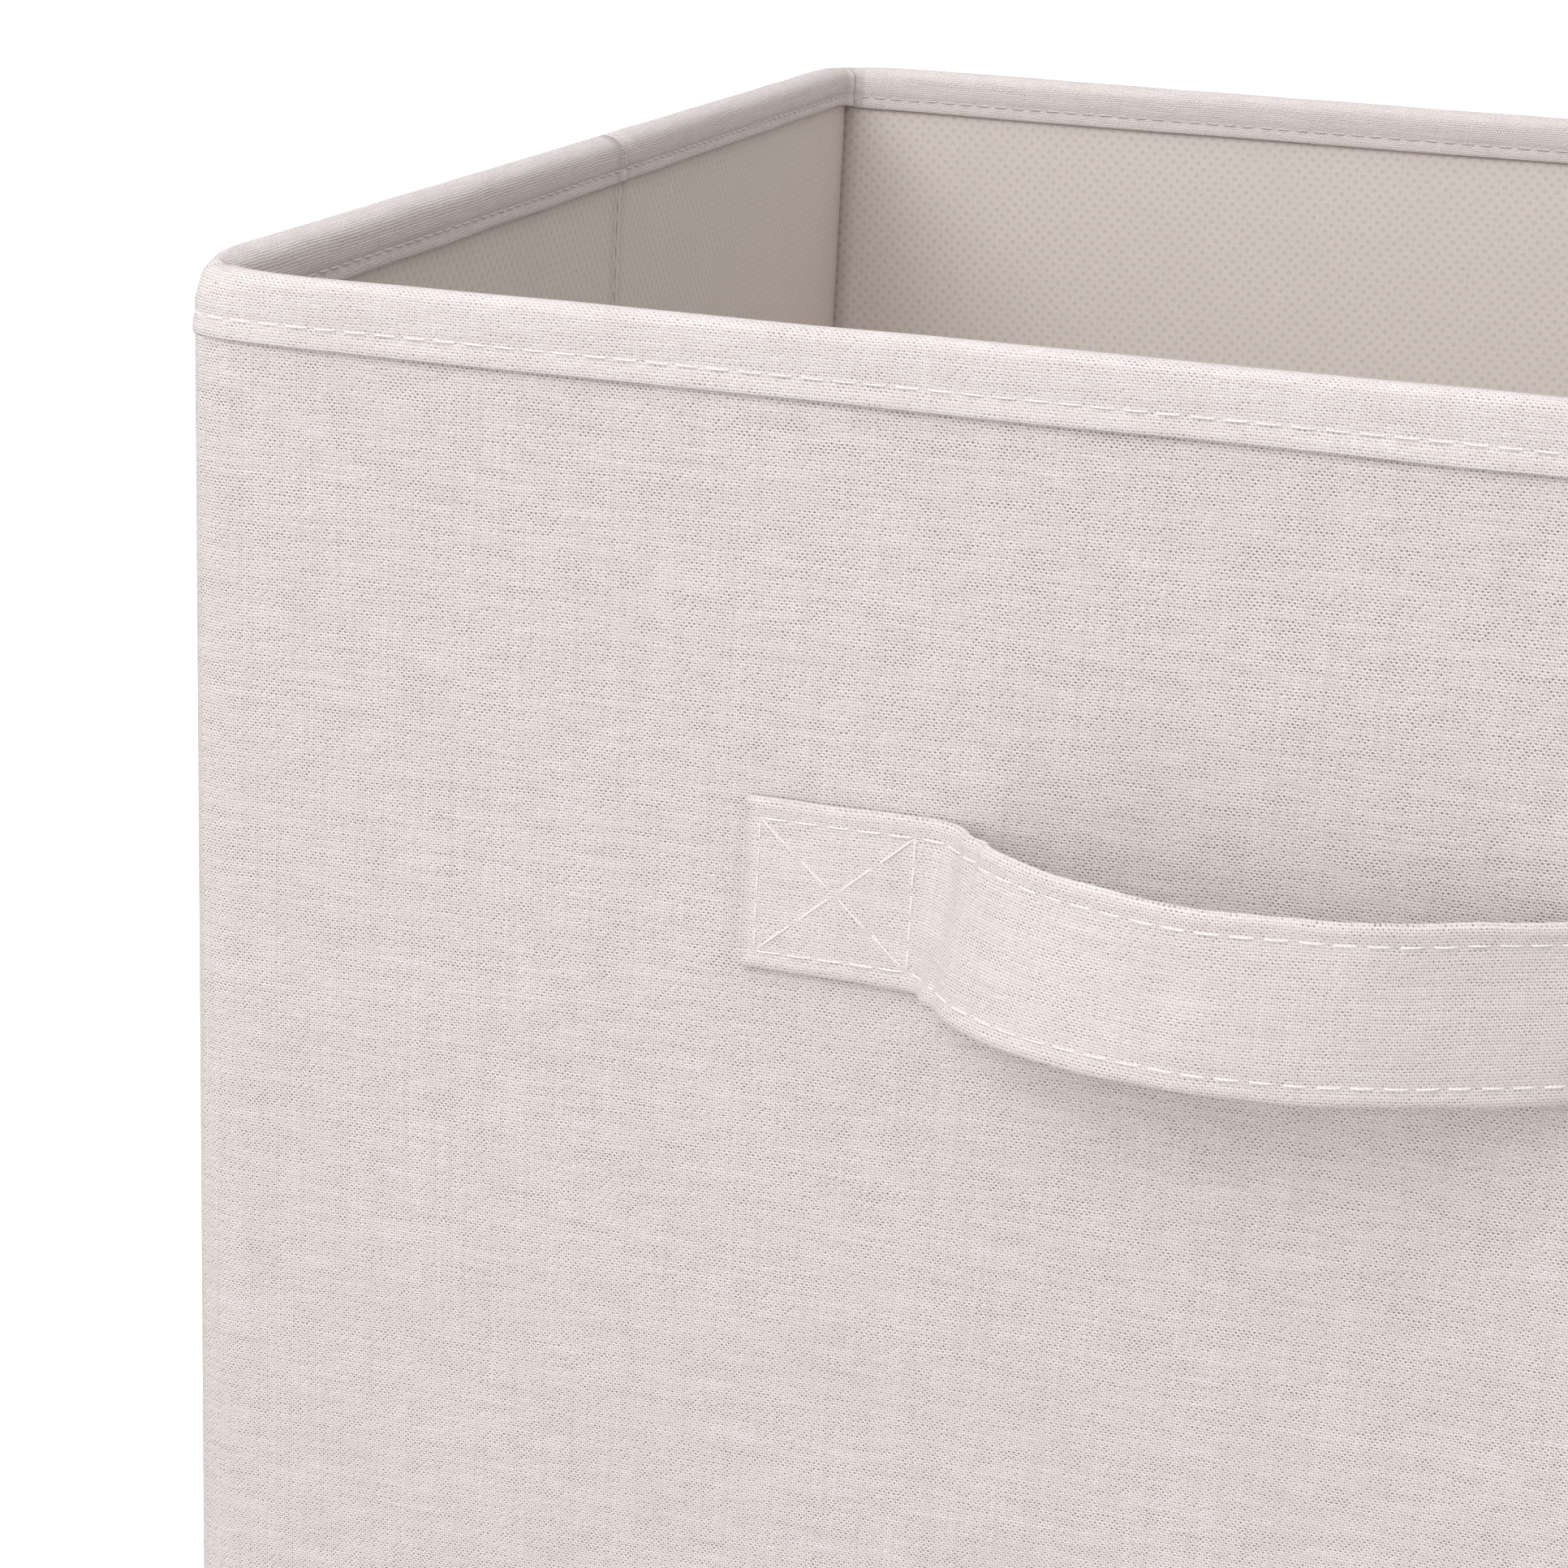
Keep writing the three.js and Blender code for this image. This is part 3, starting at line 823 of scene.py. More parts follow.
def build_covers():
    section = panel_section(WALL_BASE, WALL_TOP, 0.0, COVER_T)
    for body, flip in FACES:
        path = mirrored(face_path(), flip, flip)
        made = sweep(f"{body}_cover_cloth", path, section, COVER_CLOTH, seam_groove)
        hold(made, body, [f"{body}_cover"])
    for name, flip in SIDE_WALLS:
        path = mirrored(crease_path(), flip, flip)
        made = sweep(f"{name}_cover_crease", path, section, COVER_CLOTH, crease_groove)
        hold(made, crease_rider(name))
    for side, (flip_x, flip_y) in SIDES.items():
        path = side_path()
        if side == "right_back":
            path = path + corner_nosing()
        path = mirrored(path, flip_x, flip_y)
        made = sweep(f"{side}_cover_cloth", path, section, COVER_CLOTH, side_unevenness)
        hold(made, side_rider(side), [f"{side}_cover"])


def corner_nosing():
    """The hidden cloth inside the corner that has no hinge of its own: it turns about the corner's line."""
    pivot_x = -HALF_W + WALL_T + RIM_OUT + NOSING_CLEAR
    pivot_y = -FACE_END + NOSING_CLEAR
    radius = pivot_x + HALF_W - NOSING_STEP
    path = [Station(-HALF_W + NOSING_STEP, pivot_y + 0.05 * MM, -1, 0)]
    path += arc(pivot_x, pivot_y, radius, math.pi, math.pi + NOSING_ANGLE, 14)
    last = FACE_END
    for s in path:
        s.along = last
        last += 0.35 * MM
    return path


def crease_rider(name):
    flip = 1 if name == "left" else -1
    x = -HALF_W * flip
    return (f"{name}_front_half", f"{name}_back_half", (x, -CREASE_HALF, 0), (x, CREASE_HALF, 0))


def crease_groove(s, out, up):
    return out - CREASE_DEPTH * near(s.y, CREASE_WIDTH), up


# ==== Linings ====================================================================================
def build_linings():
    section = panel_section(WALL_BASE, WALL_TOP, 0.0, LINING_T)
    face_y = -HALF_D + (HALF_D - FACE_LINING_Y - LINING_T)
    face_end = SIDE_LINING_X + 0.2 * MM
    face = measured(straight(-face_end, face_y, face_end, face_y, (0, -1)), -SIDE_LINING_X)
    for body, flip in FACES:
        made = sweep(f"{body}_lining_cloth", mirrored(face, flip, flip), section, LINING_CLOTH)
        hold(made, body, [f"{body}_lining"])
    depth_in = SIDE_LINING_X + LINING_T
    for name, flip in SIDE_WALLS:
        path = crease_path()
        for s in path:
            s.x = -depth_in
        path = mirrored(path, flip, flip)
        made = sweep(f"{name}_lining_crease", path, section, LINING_CLOTH, lining_crease)
        hold(made, crease_rider(name))
    for side, (flip_x, flip_y) in SIDES.items():
        path = side_path(near_corner=FACE_LINING_Y if side != "right_back" else BEND_END + 1.4 * MM)
        for s in path:
            s.x = -depth_in
        made = sweep(f"{side}_lining_cloth", mirrored(path, flip_x, flip_y), section, LINING_CLOTH)
        hold(made, side_rider(side), [f"{side}_lining"])


def lining_crease(s, out, up):
    return out + CREASE_DEPTH * near(s.y, CREASE_WIDTH), up


# ==== Rim binding ================================================================================
def corner_nearness(s):
    return near(math.hypot(HALF_W - abs(s.x), HALF_D - abs(s.y)), CORNER_EASE)


def corner_lean(above):
    """How far a sewn corner leans in, from the band's lower edge to the rim's top."""
    return 0.75 * MM + 2.6 * MM * above**2.4


def under_rim(s, out, up):
    """The cover leans in beneath the rim's corner, so it stays inside the binding."""
    start = smooth((up - BAND_LOW) / (2.5 * MM))
    return out - corner_nearness(s) * start * (corner_lean(up_the_band(up)) - 0.15 * MM)


def rim_shape(s, out, up):
    """How the sewn rim departs from its plain section: the crown's height wall by wall, the shorter
    inner leg, and the corners, where the folded strip leans in and its crown is rounder."""
    above = up_the_band(up)
    inward = smooth(-out / WALL_T)
    off_side, off_face = HALF_W - abs(s.x), HALF_D - abs(s.y)
    if s.y < 0:
        crown = SIDE_CROWN + (FRONT_CROWN - SIDE_CROWN) * smooth(off_side / RIM_EASE)
    else:
        crown = BACK_CROWN + (SIDE_CROWN - BACK_CROWN) * smooth(off_face / RIM_EASE)
    leg = FACE_LEG_RISE + (SIDE_LEG_RISE - FACE_LEG_RISE) * smooth(off_face / RIM_EASE)
    at_corner = corner_nearness(s)
    lean = at_corner * corner_lean(above) * (1 - inward)
    sink = at_corner * 1.0 * MM * above**3 * (1 - inward)
    rise = crown * smooth((above - 0.45) / 0.4) + leg * inward * smooth((0.6 - above) / 0.5)
    return out - lean, up + rise - sink


def binding_softness(s, out, up):
    """The strip is a little fuller between its stitches, and its lower edge isn't quite straight."""
    above = up_the_band(up)
    out, up = rim_shape(s, out, up)
    wave = noise.noise(Vector((s.x * 60, s.y * 60, up * 40)))
    edge = noise.noise(Vector((s.x * 35 + 4, s.y * 35, 0.0)))
    out += 0.10 * MM * wave * (1 - above * 0.5)
    return out, up + 0.22 * MM * edge * (1 - above) + 0.12 * MM * wave * above


def build_binding():
    section = binding_section(WALL_T)
    for body, flip in FACES:
        path = mirrored(face_path(), flip, flip)
        made = sweep(f"{body}_rim_binding", path, section, BINDING_CLOTH, binding_softness)
        hold(made, body, [f"{body}_binding"])
    for name, flip in SIDE_WALLS:
        path = mirrored(crease_path(), flip, flip)
        made = sweep(f"{name}_rim_crease", path, section, BINDING_CLOTH, rim_crease)
        hold(made, crease_rider(name))
    for side, (flip_x, flip_y) in SIDES.items():
        path = mirrored(side_path(soft=side != "right_back"), flip_x, flip_y)
        made = sweep(f"{side}_rim_binding", path, section, BINDING_CLOTH, binding_softness)
        hold(made, side_rider(side), [f"{side}_binding"])


def rim_crease(s, out, up):
    """The rim strip is pressed in and down a little where the side folds."""
    above = up_the_band(up)
    out, up = rim_shape(s, out, up)
    lean = 0.5 * MM * math.sin(above * 5.0)
    pinch = near(s.y - lean, 0.35 * MM)
    middle = -WALL_T / 2
    return middle + (out - middle) * (1 - 0.26 * pinch), up - 0.9 * MM * pinch * above * above


# ==== Handles ====================================================================================
def spline(points, per_span):
    """A smooth curve through points, by centripetal spans."""
    full = [2 * points[0] - points[1]] + points + [2 * points[-1] - points[-2]]
    made = []
    for i in range(1, len(full) - 2):
        p0, p1, p2, p3 = full[i - 1 : i + 3]
        t0 = 0.0
        t1 = t0 + math.sqrt((p1 - p0).length)
        t2 = t1 + math.sqrt((p2 - p1).length)
        t3 = t2 + math.sqrt((p3 - p2).length)
        for k in range(per_span):
            t = t1 + (t2 - t1) * k / per_span
            a1 = p0 * ((t1 - t) / (t1 - t0)) + p1 * ((t - t0) / (t1 - t0))
            a2 = p1 * ((t2 - t) / (t2 - t1)) + p2 * ((t - t1) / (t2 - t1))
            a3 = p2 * ((t3 - t) / (t3 - t2)) + p3 * ((t - t2) / (t3 - t2))
            b1 = a1 * ((t2 - t) / (t2 - t0)) + a2 * ((t - t0) / (t2 - t0))
            b2 = a2 * ((t3 - t) / (t3 - t1)) + a3 * ((t - t1) / (t3 - t1))
            made.append(b1 * ((t2 - t) / (t2 - t1)) + b2 * ((t - t1) / (t2 - t1)))
    made.append(points[-1])
    return made


def strap_path():
    """The strap's middle line in plan on the front wall, with the way out as its outward side."""
    end = HANDLE_HALF - PATCH_LENGTH
    rise = LOOP_STANDOFF
    peak = LOOP_PEAK
    knots = [
        (-HANDLE_HALF, 0.0),
        (-HANDLE_HALF + 0.5 * PATCH_LENGTH, 0.0),
        (-end - 2 * MM, 0.0),
        (-end, 0.02),
        (-end + 3.5 * MM, 0.15),
        (-end + 6 * MM, 0.35),
        (-end + 11 * MM, 0.56),
        (-end + 20 * MM, 0.81),
        (peak - 10 * MM, 0.965),
        (peak, 1.0),
        (peak + 13 * MM, 0.9),
        (peak + 25 * MM, 0.75),
        (end - 15.5 * MM, 0.32),
        (end - 6.5 * MM, 0.06),
        (end, 0.01),
        (end + 2 * MM, 0.0),
        (HANDLE_HALF - 0.5 * PATCH_LENGTH, 0.0),
        (HANDLE_HALF, 0.0),
    ]
    line = spline([Vector((x, -(HALF_D + STRAP_FLAT + rise * share))) for x, share in knots], 7)
    path = []
    for i, p in enumerate(line):
        ahead = (line[min(i + 1, len(line) - 1)] - line[max(i - 1, 0)]).normalized()
        path.append(Station(p.x, p.y, ahead.y, -ahead.x))
    return measured(path, -HANDLE_HALF)


STRAP_LINE = strap_path()


def stand_off(x):
    """How far the strap's middle line stands off the wall at x on the front."""
    for a, b in zip(STRAP_LINE, STRAP_LINE[1:]):
        if a.x <= x <= b.x and b.x > a.x:
            return -(a.y + (b.y - a.y) * (x - a.x) / (b.x - a.x)) - HALF_D
    return STRAP_FLAT


def strap_section():
    """A folded strap's section: flat faces, soft edges, and a slight hollow along each row of stitches."""
    half_t = STRAP_T / 2
    line = STRAP_HALF - EDGE_STITCH_IN
    outer = []
    steps = 26
    for i in range(steps + 1):
        z = -STRAP_HALF + half_t * 0.8 + (2 * STRAP_HALF - 1.6 * half_t) * i / steps
        dip = near(abs(z) - line, 0.7 * MM)
        swell = 0.12 * MM * near(abs(z) - line - 1.7 * MM, 0.9 * MM)
        outer.append((half_t - 0.2 * MM * dip + swell, z))
    shoulder = STRAP_HALF - half_t * 0.18
    top = [(half_t * 0.55, shoulder), (0.0, STRAP_HALF), (-half_t * 0.55, shoulder)]
    inner = [(-o, z) for o, z in reversed(outer)]
    bottom = [(o, -z) for o, z in reversed(top)]
    return [(o, STRAP_MID + z, STRAP_MID + z) for o, z in outer + top + inner + bottom]


def strap_softness(s, out, up):
    """The loose part of the strap bellies and rolls a little."""
    off = (-s.y if s.y < 0 else s.y) - HALF_D - STRAP_FLAT
    loose = clamped(off / (0.5 * LOOP_STANDOFF))
    z = (up - STRAP_MID) / STRAP_HALF
    belly = 0.7 * MM * (1 - z * z) * loose * noise.noise(Vector((s.x * 45, 1.7, 0.4)))
    roll = 0.35 * MM * noise.noise(Vector((s.x * 70, up * 90, 2.2))) * (0.35 + loose)
    edge = 0.35 * MM * noise.noise(Vector((s.x * 110, z * 0.8, 7.7)))
    # The fold where it leaves the wall runs slantwise: its upper edge stays on the wall a little longer.
    x = s.x if s.y < 0 else -s.x
    past_fold = smooth((x + HANDLE_HALF - PATCH_LENGTH + 5 * MM) / (8 * MM))
    slant = past_fold * smooth(-(x + 12 * MM) / (20 * MM))
    lag = FOLD_SLANT * z * slant
    out += (stand_off(x - lag) - stand_off(x)) * abs(s.out[1])
    return out + belly + roll, up + edge * abs(z)


def build_handle(body, flip):
    stations = mirrored(strap_path(), flip, flip)
    made = sweep(f"{body}_handle_strap", stations, strap_section(), HANDLE_CLOTH, strap_softness)
    nodes = [f"{body}_handle_{part}" for part in ("left_end", "loop", "right_end")]
    hold(made, handle_rider(body, flip), nodes)


def handle_rider(body, flip):
    """The strap's rider: its wall, its handle body, and two points where the strap leaves the wall."""
    start = HALF_D + STRAP_FLAT + 0.9 * MM
    return (body, f"{body}_handle", (0, -start * flip, STRAP_MID), (0, -(start + BEND_OFF) * flip, STRAP_MID))


# ==== Stitching ==================================================================================
def tube(points, radius, sides=6):
    """A thin closed tube along a line of points: its points, faces and own lengths."""
    made, faces, places = [], [], []
    length = 0.0
    for i, p in enumerate(points):
        ahead = (points[min(i + 1, len(points) - 1)] - points[max(i - 1, 0)]).normalized()
        side = ahead.cross(Vector((0.3, 0.2, 1.0))).normalized()
        up = side.cross(ahead).normalized()
        if i:
            length += (p - points[i - 1]).length
        r = radius * (0.55 if i in (0, len(points) - 1) else 1.0)
        for k in range(sides):
            a = math.tau * k / sides
            made.append(p + side * (math.cos(a) * r) + up * (math.sin(a) * r))
            places.append((length, radius * a))
    for i in range(len(points) - 1):
        for k in range(sides):
            n = (k + 1) % sides
            faces.append((i * sides + k, i * sides + n, (i + 1) * sides + n, (i + 1) * sides + k))
    faces.append(tuple(reversed(range(sides))))
    faces.append(tuple(range((len(points) - 1) * sides, len(points) * sides)))
    return made, faces, places


# A stitch dips into the cloth at both ends: shares of its length, and heights.
STITCH_ARCH = ((0.0, -0.75), (0.06, -0.05), (0.2, 0.5), (0.5, 0.72), (0.8, 0.5), (0.94, -0.05), (1.0, -0.75))


class Stitching:
    """Collects stitches for one object."""

    def __init__(self, radius=THREAD_R):
        self.radius = radius
        self.points = []
        self.faces = []
        self.places = []

    def stitch(self, a, b, lift):
        """One stitch from a to b on the cloth's face. lift is the way out of the cloth."""
        radius = self.radius
        line = [a.lerp(b, t) + lift * (radius * height * 1.5) for t, height in STITCH_ARCH]
        points, faces, places = tube(line, radius)
        base = len(self.points)
        self.points += points
        self.faces += [tuple(base + k for k in f) for f in faces]
        self.places += places

    def row(self, at, length, pitch=STITCH_PITCH, share=STITCH_LENGTH / STITCH_PITCH, seed=0.0):
        """Stitches along at(distance) -> (point, outward, across), all the way to length."""
        count = max(1, round(length / pitch))
        step = length / count
        for i in range(count):
            wander = noise.noise(Vector((i * 0.73 + seed, seed, 1.3)))
            begin = (i + (1 - share) / 2 + 0.05 * wander) * step
            finish = begin + share * step
            a, out_a, across = at(begin)
            b, out_b, _ = at(finish)
            lean = across * (0.09 * MM * wander)
            self.stitch(a + lean, b - lean, ((out_a + out_b) / 2).normalized())

    def done(self, name, rider, material=THREAD):
        follow(mesh_object(name, self.points, self.faces, self.places, material), rider)


def along_path(path, out, up, shape=None):
    """at(distance) along a plan path, at a height and a distance outward."""
    plain_out, plain_up = out, up
    first = path[0].along
    flipped = path[-1].along < first

    def at(distance):
        target = first - distance if flipped else first + distance
        for a, b in zip(path, path[1:]):
            out, up = shape(a, plain_out, plain_up) if shape else (plain_out, plain_up)
            low, high = min(a.along, b.along), max(a.along, b.along)
            if low - 1e-9 <= target <= high + 1e-9 and high > low:
                t = (target - a.along) / (b.along - a.along)
                normal = Vector((*a.out, 0)).lerp(Vector((*b.out, 0)), t).normalized()
                spot = Vector((*a.at(out), up)).lerp(Vector((*b.at(out), up)), t)
                return spot, normal, Vector((0, 0, 1))
        end = path[-1] if abs(path[-1].along - target) < abs(first - target) else path[0]
        return Vector((*end.at(out), up)), Vector((end.out[0], end.out[1], 0)), Vector((0, 0, 1))

    return at


def path_length(path):
    return abs(path[-1].along - path[0].along)


def part_of(path, low, high):
    """The stretch of a path between two distances along it."""
    return [s for s in path if low - 1e-9 <= s.along <= high + 1e-9]


def inward_row(rows, path, height):
    """The same row seen from inside the bin, on the strip's inner leg."""
    forward = along_path(path, -WALL_T - RIM_OUT + 0.2 * MM, height, rim_shape)

    def at(distance):
        spot, normal, across = forward(distance)
        return spot, -normal, across

    rows.row(at, path_length(path), seed=3.1)


def build_rim_stitches():
    height = BAND_LOW + RIM_STITCH_UP
    dip = RIM_OUT - 0.2 * MM
    inner_half = HALF_W - WALL_T - 2 * RIM_OUT
    for body, flip in FACES:
        rows = Stitching()
        path = mirrored(face_path(), flip, flip)
        rows.row(along_path(path, dip, height, rim_shape), path_length(path), seed=flip * 1.7)
        rows.done(f"{body}_rim_stitches", body)
        inside = Stitching()
        inward_row(inside, [s for s in path if abs(s.x) <= inner_half], height)
        inside.done(f"{body}_rim_stitches_inside", body, INNER_THREAD)
    for side, (flip_x, flip_y) in SIDES.items():
        rows = Stitching()
        path = mirrored(part_of(side_path(), CREASE_HALF, BEND_END), flip_x, flip_y)
        rows.row(along_path(path, dip, height, rim_shape), path_length(path), seed=flip_x + 2.3 * flip_y)
        rows.done(f"{side}_rim_stitches", f"{side}_half")
        inside = Stitching()
        inward_row(inside, path, height)
        inside.done(f"{side}_rim_stitches_inside", f"{side}_half", INNER_THREAD)


def build_crease_stitches():
    """The row that sews cover and lining together down each crease, between the two boards."""
    low = WALL_BASE + 3 * MM
    high = BAND_LOW - 1 * MM
    for name, flip in SIDE_WALLS:
        rows = Stitching()
        for x, out in ((-HALF_W + 0.42 * MM, -1), (-SIDE_LINING_X - 0.42 * MM, 1)):

            def at(distance, x=x, out=out, flip=flip):
                return Vector((x * flip, 0, low + distance)), Vector((out * flip, 0, 0)), Vector((0, 1, 0))

            rows.row(at, high - low, seed=x * 50 + flip)
        rows.done(f"{name}_crease_stitches", crease_rider(name), SEAM_THREAD)


def build_corner_stitches():
    """The sewn line down each corner of the outer cloth."""
    low = WALL_BASE + 3 * MM
    high = BAND_LOW - 1 * MM
    angle = CORNER_SEAM
    x = HALF_W - CORNER_REACH * (1 - math.cos(angle)) - 0.5 * MM
    y = HALF_D - (HALF_D - FACE_END) * (1 - math.sin(angle)) + 0.02 * MM
    for body, flip in FACES:
        rows = Stitching(0.5 * THREAD_R)
        for side in (-1, 1):

            def at(distance, side=side, flip=flip):
                spot = Vector((side * x, -y * flip, low + distance))
                return spot, Vector((side * 0.35, -flip * 0.94, 0)), Vector((1, 0, 0))

            rows.row(at, high - low, seed=side * 2.9)
        rows.done(f"{body}_corner_stitches", body)


def build_handle_stitches(body, flip):
    path = mirrored(strap_path(), flip, flip)
    order = path if path[0].along < path[-1].along else path[::-1]
    first = order[0].along
    surface = STRAP_T / 2 - 0.17 * MM
    box_right = first + PATCH_LENGTH - BOX_STITCH_IN
    total = order[-1].along - first
    line = STRAP_HALF - EDGE_STITCH_IN
    # Long rows along both edges of the loose strap.
    rows = Stitching()
    stretch = part_of(order, box_right, first + total - PATCH_LENGTH + BOX_STITCH_IN)
    for sign in (-1, 1):
        place = along_path(stretch, surface, STRAP_MID + sign * line, strap_softness)
        rows.row(place, path_length(stretch), seed=sign * 4.1)
    rows.done(f"{body}_strap_stitches", handle_rider(body, flip))
    # A box with a cross at each sewn end.
    rows = Stitching()
    out = Vector((0, -flip, 0))
    y = -(HALF_D + STRAP_FLAT + surface + 0.04 * MM) * flip
    for end in (-1, 1):
        outer = end * (HANDLE_HALF - BOX_STITCH_END)
        inner = end * (HANDLE_HALF - PATCH_LENGTH + BOX_STITCH_IN)
        spots = ((outer, line), (inner, line), (inner, -line), (outer, -line))
        corners = [Vector((x * flip, y, z + STRAP_MID)) for x, z in spots]
        for a, b in ((0, 1), (1, 2), (2, 3), (3, 0)):
            straight_row(rows, corners[a], corners[b], out, STITCH_PITCH)
        straight_row(rows, corners[0], corners[2], out, CROSS_STITCH_PITCH, 0.9)
        straight_row(rows, corners[3], corners[1], out, CROSS_STITCH_PITCH, 0.9)
    rows.done(f"{body}_handle_box_stitches", body)


def straight_row(rows, a, b, out, pitch, share=0.8):
    length = (b - a).length
    across = (b - a).normalized().cross(out)

    def at(distance):
        return a.lerp(b, distance / length), out, across

    rows.row(at, length, pitch, share, seed=a.x * 90 + b.z * 40)


# ==== Floor and insert ===========================================================================
def build_floor():
    """The bottom cloth with its edge turned up: a rim wall swept round, then the flat bottom."""
    top = floor_high.z
    t = COVER_T
    outer_face = [
        (-0.12 * MM, top), (0.0, top - 0.35 * MM), (0.02 * MM, top * 0.6), (-0.05 * MM, 1.5 * MM),
        (-0.5 * MM, 0.45 * MM), (-1.5 * MM, 0.02 * MM), (-4 * MM, 0.0),
    ]
    inner_face = [
        (-4 * MM, t), (-1.9 * MM, t + 0.1 * MM), (-1.2 * MM, t + 0.8 * MM),
        (-t, top * 0.6), (-t, top - 0.3 * MM),
    ]
    path = outline(HALF_W, HALF_D, CORNER_R, 6)
    turn = len(outer_face) - 1
    made = closed_ring(
        "floor_cloth", path, outer_face + inner_face, turn, False, (HALF_W, HALF_D), COVER_CLOTH
    )
    lay_flat(made, lambda z: z < 1.2 * MM)
    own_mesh(made)
    hold(made, "front", ["floor_cover"])


def build_insert():
    """The loose base: a board in its cloth, with a sewn edge."""
    x, y, top = wrap_high
    low = wrap_low.z
    t = 0.5 * MM
    outer_face = [
        (-t, low), (0.0, low + 0.1 * MM), (0.0, low + 1.4 * MM), (-0.25 * MM, top - 0.8 * MM),
        (-0.9 * MM, top - 0.15 * MM), (-2.0 * MM, top), (-6.0 * MM, top - 0.02 * MM),
        (-7.0 * MM, top - 0.22 * MM), (-8.0 * MM, top - 0.02 * MM), (-9.0 * MM, top), (-24.0 * MM, top),
    ]
    inner_face = [(-24.0 * MM, top - t), (-2.0 * MM, top - t), (-t - 0.1 * MM, top - t - 0.3 * MM)]
    path = outline(x, y, 2.5 * MM, 5, INSERT_GRID)
    turn = len(outer_face) - 1
    made = closed_ring("insert_cloth", path, outer_face + inner_face, turn, True, (x, y), LINING_CLOTH)
    # Inside its rounded corners the ring's points meet, so they are joined.
    joined = bmesh.new()
    joined.from_mesh(made.data)
    bmesh.ops.remove_doubles(joined, verts=joined.verts, dist=0.001 * MM)
    joined.to_mesh(made.data)
    joined.free()
    lay_flat(made, lambda z: z > top - 1.2 * MM)
    hold(made, "base_insert", ["insert_wrap"])
    rows = Stitching()
    line_x, line_y = x - INSERT_STITCH_IN, y - INSERT_STITCH_IN
    sunk = Vector((0, 0, 0.18 * MM))
    turns = ((-1, -1), (1, -1), (1, 1), (-1, 1))
    corners = [Vector((line_x * side, line_y * end, top)) - sunk for side, end in turns]
    for a, b in zip(corners, corners[1:] + corners[:1]):
        straight_row(rows, a, b, Vector((0, 0, 1)), STITCH_PITCH)
    rows.done("insert_stitches", "base_insert")


def give_material(node, material):
    node.data.materials.clear()
    node.data.materials.append(material)


def dress_cad_nodes():
    """The pieces that stay as they were packed: the boards, and the cloth under the insert."""
    for name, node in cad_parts.items():
        if name.endswith("board"):
            give_material(node, BOARD)
    give_material(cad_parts["insert_backing"], LINING_CLOTH)


# ==== Setting ====================================================================================
CAMERA_AT = Vector((0.0279, -0.5957, 0.4002))
CAMERA_YAW = math.radians(-14.05)
CAMERA_PITCH = math.radians(17.94)
CAMERA_ROLL = math.radians(3.07)
LENS = 71.8
SENSOR = 36.0
STUDIO_HALF = 8.0
WORLD_STRENGTH = 0.6
AIM = (0, 0, 0.2)


def build_camera():
    forward = Vector(
        (
            math.sin(CAMERA_YAW) * math.cos(CAMERA_PITCH),
            math.cos(CAMERA_YAW) * math.cos(CAMERA_PITCH),
            -math.sin(CAMERA_PITCH),
        )
    )
    level = Vector((math.cos(CAMERA_YAW), -math.sin(CAMERA_YAW), 0.0))
    above = level.cross(forward)
    right = level * math.cos(CAMERA_ROLL) + above * math.sin(CAMERA_ROLL)
    up = above * math.cos(CAMERA_ROLL) - level * math.sin(CAMERA_ROLL)
    data = bpy.data.cameras.new("camera")
    data.lens = LENS
    data.sensor_width = SENSOR
    data.clip_start = 0.01
    data.clip_end = 50
    camera = bpy.data.objects.new("camera", data)
    bpy.context.scene.collection.objects.link(camera)
    turn = Matrix((right, up, -forward)).transposed()
    camera.matrix_world = Matrix.Translation(CAMERA_AT) @ turn.to_4x4()
    bpy.context.scene.camera = camera


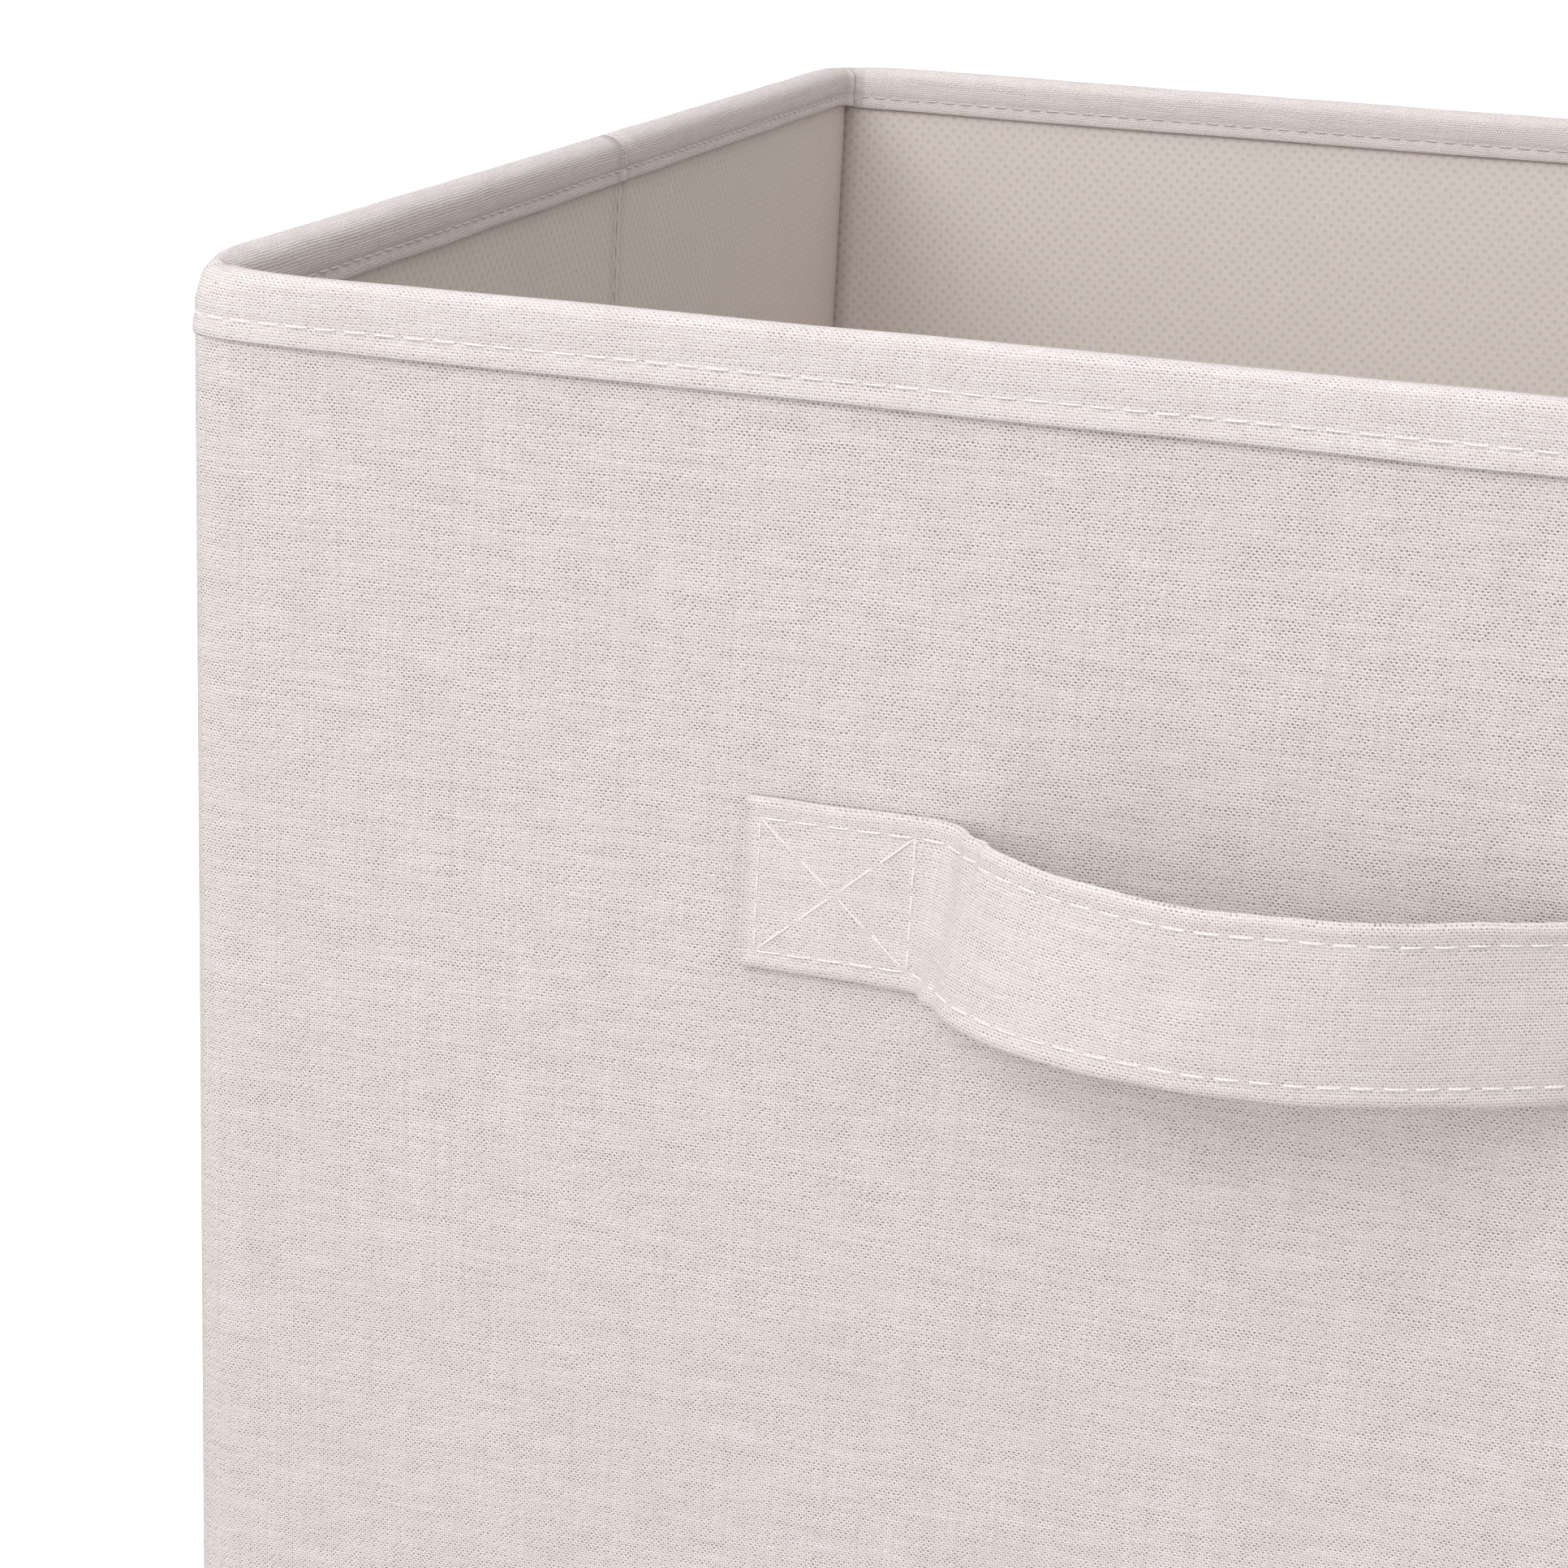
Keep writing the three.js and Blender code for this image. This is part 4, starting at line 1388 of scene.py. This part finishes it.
def area_light(name, at, aim, size, power):
    data = bpy.data.lights.new(name, "AREA")
    data.shape = "DISK"
    data.size = size
    data.energy = power
    light = bpy.data.objects.new(name, data)
    bpy.context.scene.collection.objects.link(light)
    light.location = at
    light.rotation_mode = "QUATERNION"
    light.rotation_quaternion = (Vector(aim) - Vector(at)).to_track_quat("-Z", "Y")


def build_setting():
    world = bpy.data.worlds.new("studio")
    world.use_nodes = True
    sky = world.node_tree.nodes["Background"]
    sky.inputs["Color"].default_value = (1.0, 0.99, 0.985, 1)
    sky.inputs["Strength"].default_value = WORLD_STRENGTH
    bpy.context.scene.world = world
    area_light("key", (-1.0, -1.6, 1.9), AIM, size=1.4, power=18.5)
    area_light("front", (-0.5, -2.3, 1.1), AIM, size=2.2, power=24)
    area_light("top", (0.2, -0.1, 2.2), (0, 0, 0.1), size=1.6, power=11)
    mesh = bpy.data.meshes.new("studio_floor")
    half = STUDIO_HALF
    ground = [(-half, -half, 0), (half, -half, 0), (half, half, 0), (-half, half, 0)]
    mesh.from_pydata(ground, [], [(0, 1, 2, 3)])
    floor = bpy.data.objects.new("studio_floor", mesh)
    bpy.context.scene.collection.objects.link(floor)
    material, w, shader = new_material("studio_white", (0.9, 0.9, 0.9, 1))
    shader.inputs["Base Color"].default_value = (0.6, 0.6, 0.6, 1)
    shader.inputs["Roughness"].default_value = 0.95
    shader.inputs["Specular IOR Level"].default_value = 0.0
    shader.inputs["Emission Color"].default_value = (1, 1, 1, 1)
    seen = w.node("ShaderNodeLightPath")
    w.set(shader.inputs["Emission Strength"], w.times(seen.outputs["Is Camera Ray"], 0.7))
    mesh.materials.append(material)
    scene = bpy.context.scene
    scene.view_settings.view_transform = "Standard"
    scene.view_settings.look = "None"


# ==== The bin ====================================================================================
build_camera()
build_setting()
dress_cad_nodes()
build_covers()
build_linings()
build_binding()
for wall, turn in FACES:
    build_handle(wall, turn)
    build_handle_stitches(wall, turn)
build_rim_stitches()
build_crease_stitches()
build_corner_stitches()
build_floor()
build_insert()
